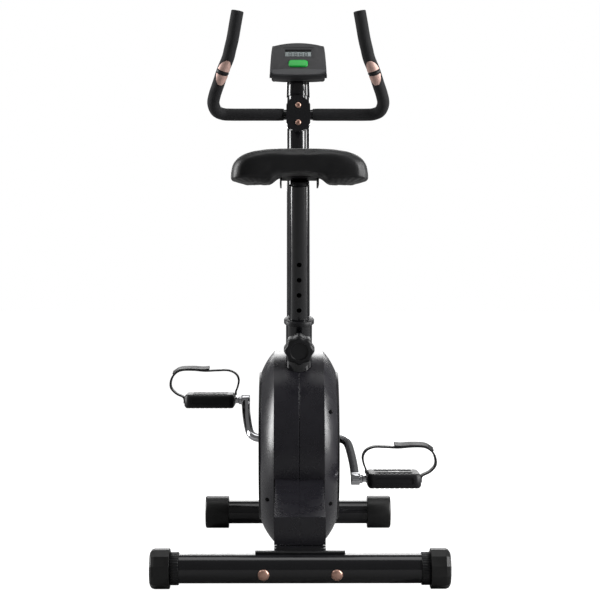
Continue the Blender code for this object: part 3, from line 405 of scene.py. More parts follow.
def rear_foot():
    bolts = [(rod(0.0050, -0.03, 0.03, "Y"), REAR_BOLTS @ Matrix.Translation((s * BOLT_X, 0, 0)))
             for s in (-1, 1)]
    piece("rear_stabilizer_tube", tube(TUBE_R, WALL, -REAR_HALF, REAR_HALF, "X"), REAR, PAINT, "frame",
          ["rear_stabilizer"], cuts=bolts)
    dome = [(0, -0.0308)] + [(0.0100 * math.sin(t), -0.0258 - 0.0050 * math.cos(t))
                             for t in (0.25, 0.5, 0.75, 1.0, 1.2, 1.4, 1.5708)]
    bolt = dome + [(0.0100, -0.0253), (0.0046, -0.0253), (0.0046, 0.0310), (0.0085, 0.0310),
                   (0.0085, 0.0385), (0.0046, 0.0400), (0, 0.0400)]

    def ribs(angle, height):
        return 1 + 0.014 * math.cos(36 * angle) if abs(height) > 0.2067 and abs(height) < 0.2210 else 1

    for side, sign in SIDES:
        body = f"{side}_foot"
        shift = REAR_BOLTS @ Matrix.Translation((sign * BOLT_X, 0, 0))
        piece(f"carriage_bolt_{side}", turned(bolt, "Y"), shift, ROSE, "frame", [f"rear_bolt_{side}"])
        sleeve = [(0.0226, 0.165), (0.0226, REAR_HALF + GAP), (0.0275, REAR_HALF + GAP), (0.0276, 0.2070),
                  (0.0276, 0.2205), (0.0270, 0.2212), (0.0220, 0.2212), (0.0220, 0.2500), (0.0190, 0.2500),
                  (0.0190, 0.165)]
        piece(f"neck_ring_{side}", turned(mirrored(sleeve, sign), "X", 288, ribs), REAR, BLACK, "frame",
              [f"rear_sleeve_{side}"], sharp=60)
        corner = 0.03325 / math.cos(math.radians(15))
        facets = [(corner * math.cos(math.radians(15 + 30 * k)), corner * math.sin(math.radians(15 + 30 * k)))
                  for k in range(12)]
        sections = [(0.2215, 1.0), (0.2470, 1.0), (0.2520, 0.95), (0.2550, 0.82)]
        cap = loft([[(sign * x, a * s, b * s) for a, b in facets] for x, s in sections])
        bore = sorted((sign * 0.21, sign * 0.2504))
        end = sorted((sign * 0.2542, sign * 0.26))
        piece(f"levelling_cap_{side}", cap, REAR, RUBBER, body, [f"rear_cap_{side}"], 0.0005,
              [(rod(0.0223, *bore, "X"), REAR), (rod(0.017, *end, "X", 48), REAR)], sharp=12)


def front_foot():
    piece("front_stabilizer_tube", tube(TUBE_R, WALL, -FRONT_HALF, FRONT_HALF, "X"), FRONT_FOOT, PAINT,
          "frame", ["front_stabilizer"])
    for side, sign in SIDES:
        shape = [(0, 0.1485), (0.0325, 0.1485), (0.0342, 0.1493), (0.0345, 0.1505), (0.0345, 0.1945),
                 (0.0338, 0.1965), (0.0320, 0.1982), (0.0, 0.1990)]
        wheel = joint_point(f"{side}_wheel_spin")
        hub = Matrix.Translation(wheel)
        lugs = [(block((off - 0.003, -0.025, -0.020), (off + 0.003, 0.007, 0.016)), hub, "UNION")
                for off in (-0.0115, 0.0115)]
        bore = sorted((sign * 0.14, sign * (FRONT_HALF + GAP)))
        cuts = lugs + [
            (rod(0.0030, -0.0120, 0.0120, "X"), hub, "UNION"),
            (tube(0.0192, 0.0162, -0.0084, 0.0084, "X"), hub),
            (rod(TUBE_R + GAP, *bore, "X", 72), FRONT_FOOT),
            (block((-0.3, -0.1, -0.08), (0.3, 0.1, -FRONT_FOOT.translation.z)), FRONT_FOOT),
        ]
        piece(f"front_end_cap_{side}", turned(mirrored(shape, sign), "X"), FRONT_FOOT, RUBBER, "frame",
              [f"front_cap_{side}"], 0.0004, cuts)
        tyre = [(0.0170, -0.0075), (0.0178, -0.0069), (0.0180, -0.0060), (0.0180, 0.0060), (0.0178, 0.0069),
                (0.0170, 0.0075), (0.0120, 0.0075), (0.0110, 0.0060), (0.0060, 0.0060), (0.0055, 0.0075),
                (0.0034, 0.0075), (0.0034, -0.0075), (0.0055, -0.0075), (0.0060, -0.0060),
                (0.0110, -0.0060), (0.0120, -0.0075)]
        piece(f"roller_{side}", turned(tyre, "X"), hub, RUBBER, f"{side}_wheel",
              [f"transport_wheel_{side}"])


# Welded frame

def box_section(half, low, high, radius):
    middle = (low + high) / 2
    return rounded(half, (high - low) / 2, radius, 5, (0, middle))


def beam():
    outer = box_section(0.041, 0.032, 0.062, 0.0035)
    inner = box_section(0.039, 0.034, 0.060, 0.0015)
    rear_plate = extruded(band((0, REAR_Z), TUBE_R + GAP, TUBE_R + 0.0053, -35, 96, 40), -0.0765, 0.0765)
    front_plate = band((FRONT_Y, FRONT_Z), TUBE_R + GAP, TUBE_R + 0.0048, 84, 215, 40)
    front_plate = extruded(front_plate, -0.060, 0.060)
    rear_stub = block((-0.0445, 0.0270, 0.045), (0.0445, 0.058, 0.0633))
    cuts = [(rear_plate, BIKE, "UNION"), (front_plate, BIKE, "UNION"), (rear_stub, BIKE, "UNION")]
    for sign in (-1, 1):
        cuts.append((rod(0.0050, 0.01, 0.05, "Y"), REAR_BOLTS @ Matrix.Translation((sign * BOLT_X, 0, 0))))
    between = hoop(outer, inner, TUBE_R + 0.0028, FRONT_Y - TUBE_R - 0.0028, "Y")
    piece("welded_beam", between, BIKE, PAINT, "frame", ["main_beam"], 0.0005, cuts)


def seat_mast():
    low = -0.392
    boss = [(0.0090, -0.0470), (0.0132, -0.0470), (0.0135, -0.0466), (0.0135, -0.0235), (0.0090, -0.0235)]
    below = block((-0.1, 0.244, -0.05), (0.1, 0.644, 0.0623))
    cuts = [
        (below, BIKE),
        (turned(boss, "Y"), SEAT, "UNION"),
        (rod(0.0090, -0.0460, -0.0150, "Y"), SEAT),
        (rod(0.0030, -0.0300, -0.0150, "Y"), SEAT @ Matrix.Translation((0, 0, 0.0215))),
    ]
    piece("seat_mast", tube(TUBE_R, WALL, low, 0.029), SEAT, PAINT, "frame", ["seat_tube"],
          0.0, cuts)
    inner, outer, top = POST_R + GAP, TUBE_R - WALL - GAP, 0.029 + GAP
    shape = [(inner, -0.045), (outer, -0.045), (outer, top), (0.0283, top), (0.02885, top + 0.0006),
             (0.02885, 0.0362), (0.0284, 0.0373), (0.0272, 0.0380), (inner + 0.0006, 0.0380), (inner, 0.0374)]
    piece("mast_collar", turned(shape), SEAT, BLACK, "frame", ["post_bushing"], 0.0,
          [(rod(0.0052, -0.030, -0.010, "Y"), SEAT)])
    holes = [(rod(0.0047, -0.025, -0.010, "Y"), SEAT @ Matrix.Translation((0, 0, k * HOLE_PITCH)))
             for k in range(-HOLES_BELOW, HOLES_ABOVE + 1)]
    piece("saddle_post", tube(POST_R, POST_WALL, POST_LOW, POST_HIGH), SEAT, PAINT, "saddle", ["seat_post"],
          0.0, holes)


def front_mast():
    block_form = extruded(rounded(0.024, 0.030, 0.008, 8, (0, 0)), GAP, 0.0215, "Y")
    cuts = [
        (rod(0.0045, -0.03, -0.015, "Y"), POST @ Matrix.Translation((0, 0, KNOB_HEIGHT))),
        (block_form, BARS, "UNION"),
        (rod(BAR_R + GAP, -0.05, 0.05, "X", 64), BARS),
    ]
    for sign in (-1, 1):
        cuts.append((rod(0.0033, -0.01, 0.0160, "Y"), BARS @ Matrix.Translation((0, 0, sign * CLAMP_BOLT))))
    piece("handlebar_mast", tube(FRONT_POST_R, WALL, -0.0975, 0.5351), POST, PAINT, "frame", ["front_post"],
          0.0, cuts)


def clamp():
    outline = arc((0, 0.010), 0.0265, 20, 160, 30) + arc((0, -0.010), 0.0265, 200, 340, 30)
    cuts = [
        (block((-0.05, -GAP, -0.05), (0.05, 0.05, 0.05)), BARS),
        (rod(BAR_R + GAP, -0.05, 0.05, "X", 64), BARS),
    ]
    for sign in (-1, 1):
        shift = BARS @ Matrix.Translation((0, 0, sign * CLAMP_BOLT))
        cuts.append((rod(0.0033, -0.0250, 0.01, "Y"), shift))
        cuts.append((rod(0.0064, -0.030, -0.0150, "Y"), shift))
    piece("bar_clamp", extruded(outline, -0.0178, -GAP, "Y"), BARS, PAINT, "frame",
          ["clamp_cover"], 0.0014, cuts)
    bolt = [(0, -0.0205), (0.0040, -0.0205), (0.0052, -0.0199), (0.0059, -0.0187), (0.0060, -0.0153),
            (0.0029, -0.0153), (0.0029, 0.0150), (0, 0.0150)]
    for name, sign in (("upper", 1), ("lower", -1)):
        shift = BARS @ Matrix.Translation((0, 0, sign * CLAMP_BOLT))
        piece(f"clamp_screw_{name}", turned(bolt, "Y", 48), shift, ROSE, "frame", [f"clamp_bolt_{name}"],
              0.0, [(rod(0.0026, -0.03, -0.0180, "Y", 6), shift)])


# Shroud

SHROUD = (0.450, 0.200)
SHROUD_REAR, SHROUD_FRONT, SHROUD_TALL = 0.188, 0.240, 0.188
SHROUD_BAND, SHROUD_SIDE, SHROUD_INSET, SHROUD_WALL = 0.048, 0.0735, 0.041, 0.0028
TAIL_HALF = 0.045


def egg(inset, steps=30):
    """The shroud's side outline, a quarter at a time, moved inwards."""
    quarters = (
        (SHROUD_FRONT, 1, 1, 1.9),
        (SHROUD_REAR, -1, 1, 2.0),
        (SHROUD_REAR, -1, -1, 2.35),
        (SHROUD_FRONT, 1, -1, 2.2),
    )
    found = []
    for q, (long, sy, sz, power) in enumerate(quarters):
        for k in range(steps):
            t = math.pi / 2 * k / steps
            if q % 2:
                t = math.pi / 2 - t
            y = long * math.cos(t) ** (2 / power) if t < math.pi / 2 - 1e-9 else 0.0
            z = SHROUD_TALL * math.sin(t) ** (2 / power) if t > 1e-9 else 0.0
            found.append(Vector((SHROUD[0] + sy * y, SHROUD[1] + sz * z)))
    moved = []
    for k in range(len(found)):
        along = (found[(k + 1) % len(found)] - found[k - 1]).normalized()
        moved.append(found[k] + inset * Vector((-along.y, along.x)))
    return moved


def shroud_half(sign, wall, levels):
    sections = []
    for across, inset in levels:
        sections.append([(sign * across, p.x, p.y) for p in egg(inset + wall)])
    return loft(sections)


def chamfer_levels(wall, steps=12):
    start, end = math.radians(35), math.radians(60)
    levels = [(SHROUD_BAND - wall, 0.0)]
    for k in range(1, steps + 1):
        angle = start + (end - start) * k / steps
        out = (math.sin(angle) - math.sin(start)) / (math.sin(end) - math.sin(start))
        back = (math.cos(start) - math.cos(angle)) / (math.cos(start) - math.cos(end))
        levels.append((SHROUD_BAND + (SHROUD_SIDE - SHROUD_BAND) * out - wall, SHROUD_INSET * back))
    return levels


def shroud():
    tail = [(0.060, 0.0635), (0.060, 0.112), (0.266, 0.154), (0.330, 0.167), (0.330, 0.045), (0.262, 0.040)]
    hollow = [(0.060 + SHROUD_WALL, 0.030), (0.060 + SHROUD_WALL, 0.112 - SHROUD_WALL),
              (0.266, 0.154 - SHROUD_WALL), (0.336, 0.164), (0.336, 0.030)]
    screws = {"left": [(-0.0605, 0.112)], "right": [(0.060, 0.278), (0.060, 0.104)]}
    groove = 0.0009
    for side, sign in SIDES:
        outer = [(GAP / 2, groove), (GAP / 2 + groove, 0.0)] + chamfer_levels(0.0)
        half = raw(f"shroud_shell_{side}", shroud_half(sign, 0.0, outer), BIKE)
        near, far = sorted((sign * GAP / 2, sign * TAIL_HALF))
        carve(half, extruded(tail, near, far), BIKE, "UNION", "MANIFOLD")
        inner = [(-0.005, 0.0)] + chamfer_levels(SHROUD_WALL)
        carve(half, shroud_half(sign, SHROUD_WALL, inner), BIKE, "DIFFERENCE", "MANIFOLD")
        near, far = sorted((-sign * 0.005, sign * (TAIL_HALF - SHROUD_WALL)))
        carve(half, extruded(hollow, near, far), BIKE, "DIFFERENCE", "MANIFOLD")
        carve(half, rod(TUBE_R + 0.0008, -0.15, 0.10, "Z", 96), SEAT, "DIFFERENCE", "MANIFOLD")
        post_exit = POST @ Matrix.Translation((0, 0, 0.010))
        carve(half, rod(FRONT_POST_R + 0.0008, -0.08, 0.10, "Z", 96), post_exit, "DIFFERENCE", "MANIFOLD")
        room = block((-0.0422, 0.20, 0.0305), (0.0422, 0.72, 0.0635))
        carve(half, room, BIKE, "DIFFERENCE", "MANIFOLD")
        carve(half, rod(0.0165, -0.09, 0.09, "X", 64), DRIVE, "DIFFERENCE", "MANIFOLD")
        corners = [v.co for v in half.data.vertices]
        tree = BVHTree.FromPolygons(corners, [p.vertices for p in half.data.polygons])
        for k, (x, z) in enumerate(screws[side]):
            hit = tree.ray_cast(Vector((x, -1.0, z)), Vector((0, 1, 0)))[0]
            spot = Matrix.Translation(hit)
            carve(half, rod(0.0042, -0.02, 0.012, "Y"), spot, "DIFFERENCE", "MANIFOLD")
            head = [(0, 0.0052), (0.0024, 0.0046), (0.0036, 0.0052), (0.0036, 0.0090), (0.0014, 0.0090),
                    (0.0010, 0.0170), (0, 0.0175)]
            slots = [(block((-0.0020, 0.0, -0.0004), (0.0020, 0.0058, 0.0004)), spot),
                     (block((-0.0004, 0.0, -0.0020), (0.0004, 0.0058, 0.0020)), spot)]
            piece(f"shroud_screw_{side}_{k + 1}", turned(head, "Y", 32), spot, BLACK, "frame",
                  cuts=slots)
        dress(half, SHROUD_SKIN, "frame", [f"shroud_{side}"], sharp=22)
        base = SHROUD_SIDE + GAP
        edge = base + COVER_THICK
        cover = [(0, base), (COVER_R, base), (COVER_R, edge - 0.0014), (0.1456, edge - 0.0004),
                 (0.1446, edge), (0.118, edge), (0.1172, edge - 0.0010),
                 (0.1156, edge - 0.0010), (0.1148, edge), (0, edge)]
        piece(f"round_cover_{side}", turned(mirrored(cover, sign), "X", 128),
              BIKE @ Matrix.Translation((0, *SHROUD)), COVER_SKIN, "frame", [f"side_cover_{side}"],
              0.0, [(rod(0.0165, -0.09, 0.09, "X", 64), DRIVE)])


# Crank and pedals

def crank():
    cosine, sine = math.cos(CRANK_ANGLE), math.sin(CRANK_ANGLE)

    def at(x, out):
        return (x, out * cosine, out * sine)

    half = [(0.109, CRANK_LENGTH), (0.107, 0.085), (0.102, 0.040), (0.097, 0.016), (0.088, 0.004),
            (0.074, 0.0)]
    line = [at(-x, r) for x, r in half] + [at(-0.045, 0), at(0.045, 0)]
    line += [at(x, -r) for x, r in reversed(half)]
    path = smooth_line(line, 10)
    bar = raw("crank_bar", swept(path, [CRANK_R] * len(path)), DRIVE)
    for side, sign in SIDES:
        end = DRIVE @ Matrix.Translation((0, *at(0, -sign * CRANK_LENGTH)[1:]))
        eye = [(0, 0.1005), (0.0100, 0.1005), (0.0114, 0.1012), (0.0118, 0.1025), (0.0118, 0.1160),
               (0.0114, 0.1173), (0.0100, 0.1180), (0, 0.1180)]
        bore = rod(0.0063, *sorted((sign * 0.1030, sign * 0.13)), "X")
        piece(f"crank_eye_{side}", turned(mirrored(eye, sign), "X", 96), end, CHROME, "crank_set",
              cuts=[(bore, end)])
        spindle = [(0, 0.1034), (0.0060, 0.1034), (0.0060, 0.1183), (0.0085, 0.1183), (0.0085, 0.1225),
                   (0.0062, 0.1240), (0.0062, 0.2195), (0.0057, 0.2200), (0, 0.2200)]
        piece(f"pedal_axle_{side}", turned(mirrored(spindle, sign), "X", 48), end, CHROME, "crank_set",
              [f"spindle_{side}"])
    dress(bar, CHROME, "crank_set", ["crank"], sharp=60)


def ribbon(points, thickness, low, high, lip=0.0006):
    """A strap along a line of (X, Z) points, its width along Y, with broken edges."""
    sections = []
    for k, point in enumerate(points):
        along = (points[min(k + 1, len(points) - 1)] - points[max(k - 1, 0)]).normalized()
        across = Vector((-along.z, 0, along.x)) * thickness / 2
        near = across * (1 - 2 * lip / thickness)
        ring = [(across, low + lip), (across, high - lip), (near, high), (-near, high), (-across, high - lip),
                (-across, low + lip), (-near, low), (near, low)]
        sections.append([(point.x + a.x, h, point.z + a.z) for a, h in ring])
    return loft(sections)


def pedals():
    strap_line = [(0.0530, -0.006), (0.0550, 0.006), (0.0700, 0.014), (0.0810, 0.026), (0.0815, 0.040),
                  (0.0750, 0.053), (0.0600, 0.0620), (0.0350, 0.0630), (0.0100, 0.0610), (-0.0150, 0.0620),
                  (-0.0380, 0.0620), (-0.0530, 0.0550), (-0.0590, 0.0430), (-0.0570, 0.0290),
                  (-0.0530, 0.0180), (-0.0530, 0.0115)]
    tail_line = [(0.0770, 0.0562), (0.0610, 0.0654), (0.0350, 0.0668), (0.0150, 0.0656), (0.0020, 0.0668)]
    for side, sign in SIDES:
        body = f"{side}_pedal"
        axis = Matrix.Translation(joint_point(f"{side}_pedal_spin"))
        sections = []
        for z, grow in ((-0.014, -0.0040), (-0.0125, -0.0022), (-0.009, 0), (0.009, 0), (0.0125, -0.0022),
                        (0.014, -0.0040)):
            outline = rounded(0.0515 + grow, 0.045 + grow, 0.012 + grow, 8)
            sections.append([(a, b, z) for a, b in outline])
        cuts = []
        for near in (-1, 1):
            window = rounded(0.036, 0.0105, 0.004, 6, (0, near * 0.0235))
            cuts.append((extruded(window, -0.03, 0.03, "Z"), axis))
        cuts.append((rod(0.0066, *sorted((-sign * 0.06, sign * 0.0385)), "X"), axis))
        for k in range(-4, 5):
            for face in (-1, 1):
                low, high = sorted((face * 0.0130, face * 0.0150))
                for near in (-1, 1):
                    a, b = sorted((near * 0.0365, near * 0.0450))
                    cuts.append((block((k * 0.0095 - 0.0017, a, low), (k * 0.0095 + 0.0017, b, high)), axis))
        for near in (-1, 1):
            a, b = sorted((near * 0.0435, near * 0.0460))
            cuts.append((extruded(rounded(0.036, 0.0062, 0.003, 6), a, b, "Y"), axis))
        piece(f"pedal_body_{side}", loft(sections), axis, BLACK, body, [f"pedal_{side}"],
              0.0, cuts)
        badge = [[(0.0115 * s * math.cos(t / 24 * math.tau), 0.0050 * s * math.sin(t / 24 * math.tau), z)
                  for t in range(24)] for z, s in ((0.0138, 1.0), (0.0144, 1.0), (0.0147, 0.9))]
        piece(f"pedal_patch_{side}", loft(badge), axis, PALE, body)
        line = smooth_line([(sign * a, 0, b) for a, b in strap_line], 8)
        strap = raw(f"toe_strap_{side}", ribbon(line, 0.0034, -0.012, 0.012), axis)
        for k in range(4):
            hole = rounded(0.0016, 0.0035, 0.0015, 4, (sign * (0.004 - 0.0105 * k), 0))
            carve(strap, extruded(hole, 0.050, 0.075, "Z"), axis)
        dress(strap, STRAP, body, [f"pedal_strap_{side}"], sharp=40)
        over = smooth_line([(sign * a, 0, b) for a, b in tail_line], 8)
        roll = axis @ Matrix.Translation((0, 0, 0.0655)) @ Matrix.Rotation(math.radians(13), 4, "X")
        roll = roll @ Matrix.Translation((0, 0, -0.0655))
        piece(f"strap_end_{side}", ribbon(over, 0.0038, -0.0115, 0.0115), roll, STRAP, body)
        button = [(0, 0.0655), (0.0030, 0.0655), (0.0030, 0.0672), (0.0024, 0.0680), (0, 0.0682)]
        piece(f"strap_stud_{side}", turned(button, "Z", 24), axis @ Matrix.Translation((sign * 0.026, 0, 0)),
              BLACK, body)


# Saddle and the pin that holds its height

ARCH = ((1.0, 0.0), (0.91, 0.25), (0.80, 0.58), (0.64, 0.86), (0.40, 0.97), (0.0, 1.0))


def saddle_form():
    """Widest at its lower edge, with two lobes under the rear and an arch between them."""
    low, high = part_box("saddle_cushion")
    outline = smooth_line([(0.1352, 0.086, 0), (0.1400, 0.108, 0), (0.1580, 0.121, 0), (0.190, 0.1235, 0),
                           (0.225, 0.116, 0), (0.262, 0.090, 0), (0.300, 0.060, 0), (0.345, 0.044, 0),
                           (0.385, 0.036, 0), (0.398, 0.026, 0), (0.4035, 0.012, 0)], 3)
    sections = []
    for y, half, _ in outline:
        edge = min(1.0, (y - 0.128) / 0.030, (0.412 - y) / 0.025)
        top = high.z - 0.0050 - 0.005 * max(0.0, y - 0.19) / 0.2 - 0.012 * (1 - edge)
        foot = low.z + 0.0010 + 0.0240 * min(1.0, max(0.0, (y - 0.200) / 0.090)) + 0.006 * (1 - edge)
        section = []
        for k in range(33):
            cosine, sine = math.cos(math.pi * k / 32), math.sin(math.pi * k / 32)
            x = half * math.copysign(abs(cosine) ** 0.52, cosine)
            crown = 0.003 * (1 - (x / half) ** 2)
            section.append((x, y, foot + (top - foot) * abs(sine) ** 0.52 + crown))
        lobe = min(0.0500, 0.76 * half)
        rise = max(0.0, 0.7190 - foot)
        under = [(0.985 * half, foot - 0.0006), (0.90 * half, foot)]
        under += [(lobe * a, foot + rise * b) for a, b in ARCH]
        section += [(-x, y, z) for x, z in under] + [(x, y, z) for x, z in reversed(under[:-1])]
        sections.append(section)
    return loft(sections)


def saddle():
    """The cushion swells by cloth pressure from a slightly smaller shape."""
    pad = raw("saddle_pad", saddle_form(), BIKE)
    grid = pad.modifiers.new("grid", "REMESH")
    grid.mode = "VOXEL"
    grid.voxel_size = 0.0040
    even = pad.modifiers.new("even", "SMOOTH")
    even.factor = 0.5
    even.iterations = 4
    settle(pad)
    start = [v.co - 0.0012 * v.normal for v in pad.data.vertices]
    for vertex, home in zip(pad.data.vertices, start):
        vertex.co = home
    cloth = pad.modifiers.new("cloth", "CLOTH")
    cloth.settings.use_pressure = True
    cloth.settings.uniform_pressure_force = 4.0
    cloth.settings.effector_weights.gravity = 0.0
    scene = bpy.context.scene
    for step in range(1, 21):
        scene.frame_set(step)
    settle(pad)
    scene.frame_set(1)
    cap = 0.0035
    for vertex, home in zip(pad.data.vertices, start):
        move = vertex.co - home
        if move.length > cap:
            vertex.co = home + move.normalized() * cap
    low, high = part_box("saddle_cushion")
    points = [v.co for v in pad.data.vertices]
    for axis in range(3):
        least, most = min(p[axis] for p in points), max(p[axis] for p in points)
        stretch = (high[axis] - low[axis]) / (most - least)
        for point in points:
            point[axis] = low[axis] + (point[axis] - least) * stretch
    seam = low.z + 0.010
    for vertex in pad.data.vertices:
        under = min(1.0, max(0.0, (seam - vertex.co.z) / 0.006))
        lobe = min(1.0, max(0.0, (abs(vertex.co.x) - 0.045) / 0.02))
        bearing = math.atan2(vertex.co.y + 0.165, abs(vertex.co.x) - 0.075)
        pleat = math.sin(26 * bearing) + 0.4 * math.sin(41 * bearing + 1.3)
        vertex.co.z += 0.0015 * under * lobe * pleat
    fine = pad.modifiers.new("fine", "SUBSURF")
    fine.levels = 1
    fine.render_levels = 1
    settle(pad)
    dress(pad, VINYL, "saddle", ["saddle_cushion"], sharp=80)


def lobed_knob():
    def ring(height, scale):
        found = []
        for k in range(160):
            angle = 2 * math.pi * k / 160
            radius = scale * 0.029 * (1 - 0.05 * (1 - math.cos(8 * angle)))
            found.append((radius * math.cos(angle), height, radius * math.sin(angle)))
        return found

    shape = loft([ring(-0.0560, 0.82), ring(-0.0585, 0.95), ring(-0.0600, 0.99), ring(-0.0620, 1.0),
                  ring(-0.0775, 1.0), ring(-0.0800, 0.985), ring(-0.0820, 0.95), ring(-0.0834, 0.90),
                  ring(-0.0840, 0.82)])
    hub = turned([(0, -0.060), (0.0150, -0.060), (0.0150, -0.0480), (0.0145, -0.0475), (0, -0.0475)], "Y")
    dish = turned([(0, -0.0815), (0.0165, -0.0822), (0.0185, -0.0860), (0, -0.0860)], "Y")
    piece("lobed_height_knob", shape, SEAT, BLACK, "knob_of_pin", ["height_knob"], 0.0,
          [(hub, SEAT, "UNION"), (rod(0.0048, -0.0704, -0.04, "Y"), SEAT), (dish, SEAT)], sharp=50)


# Handlebar

BAR_HALF = [(0.1236, 0.500, 1.077), (0.1286, 0.503, 1.050), (0.1338, 0.508, 1.022), (0.1390, 0.5138, 1.002),
            (0.1442, 0.520, 0.983), (0.1547, 0.530, 0.960), (0.1642, 0.545, 0.9355), (0.1725, 0.557, 0.914),
            (0.1762, 0.571, 0.898), (0.1710, 0.587, 0.8845), (0.1580, 0.597, 0.8790), (0.1400, 0.600, 0.878),
            (0.0900, 0.600, 0.878), (GRIP_START, 0.600, 0.878)]
SENSOR_SPAN = (3.95, 5.97)


def handlebar():
    steps = 10
    for side, sign in SIDES:
        line = smooth_line([(sign * x, y, z) for x, y, z in BAR_HALF], steps)
        lead = [line[0].lerp(line[1], t) for t in (0.0, 0.12, 0.35, 0.70)] + line[1:]
        radii = [GRIP_R * s for s in (0.70, 0.86, 0.955, 0.992)] + [GRIP_R] * (len(line) - 1)
        radii[-2:] = [GRIP_R * 0.985, GRIP_R * 0.95]
        piece(f"foam_grip_{side}", swept(lead, radii, 48), BIKE, FOAM, "bars", [f"grip_{side}"],
              sharp=50)
        first, last = (round(s * steps) for s in SENSOR_SPAN)
        span = line[first:last + 1]
        sensor(side, sign, span)
    path = smooth_line([(-GRIP_START - 0.004, 0, 0), (0, 0, 0), (GRIP_START + 0.004, 0, 0)], 4)
    piece("bar_middle", swept(path, [BAR_R] * len(path), 64), BARS, PAINT, "bars", ["handlebar"])


def sensor(side, sign, span):
    """A pulse sensor: two half-oval plates on the grip's rear, with a black strip between them."""
    facing = Vector((-sign * 0.35, -1.0, 0.15)).normalized()
    frames = frames_along(span)
    length = sum((b - a).length for a, b in zip(span, span[1:]))
    places, run = [0.0], 0.0
    for a, b in zip(span, span[1:]):
        run += (b - a).length
        places.append(run / length)

    def patch(name, low, high, material, lift, wide):
        form = bmesh.new()
        outer_rows, inner_rows = [], []
        for point, (one, two), place in zip(span, frames, places):
            if place < low - 1e-6 or place > high + 1e-6:
                continue
            tangent = one.cross(two)
            out = (facing - tangent * facing.dot(tangent)).normalized()
            across = tangent.cross(out)
            bulge = max(0.0, 1 - (2 * place - 1) ** 2) ** 0.8
            reach = max(0.05, wide * bulge)
            for rows, radius in ((outer_rows, GRIP_R + lift), (inner_rows, GRIP_R - 0.001)):
                row = []
                for k in range(-10, 11):
                    angle = reach * k / 10
                    spoke = math.cos(angle) * out + math.sin(angle) * across
                    row.append(form.verts.new(point + radius * spoke))
                rows.append(row)
        loops = [row + list(reversed(inner)) for row, inner in zip(outer_rows, inner_rows)]
        for a, b in zip(loops, loops[1:]):
            for k in range(len(a)):
                n = (k + 1) % len(a)
                form.faces.new((a[k], a[n], b[n], b[k]))
        form.faces.new(loops[0])
        form.faces.new(list(reversed(loops[-1])))
        stands = [f"pulse_sensor_{side}"] if name.startswith("plate_upper") else ()
        piece(name, form, BIKE, material, "bars", stands, sharp=45)

    patch(f"plate_upper_{side}", 0.03, 0.46, SENSOR_SKIN, 0.0011, 1.15)
    patch(f"plate_lower_{side}", 0.54, 0.97, SENSOR_SKIN, 0.0011, 1.15)
    patch(f"sensor_strip_{side}", 0.45, 0.55, BLACK, 0.0014, 1.15)


# Console

BUTTON_HEIGHT = -0.0142
DIGIT = ((0, 0.0062), (0, 0), (0, -0.0062), (0.0031, 0.0031), (-0.0031, 0.0031), (0.0031, -0.0031),
         (-0.0031, -0.0031))
BAR_HALVES = (0.0024, 0.0005)


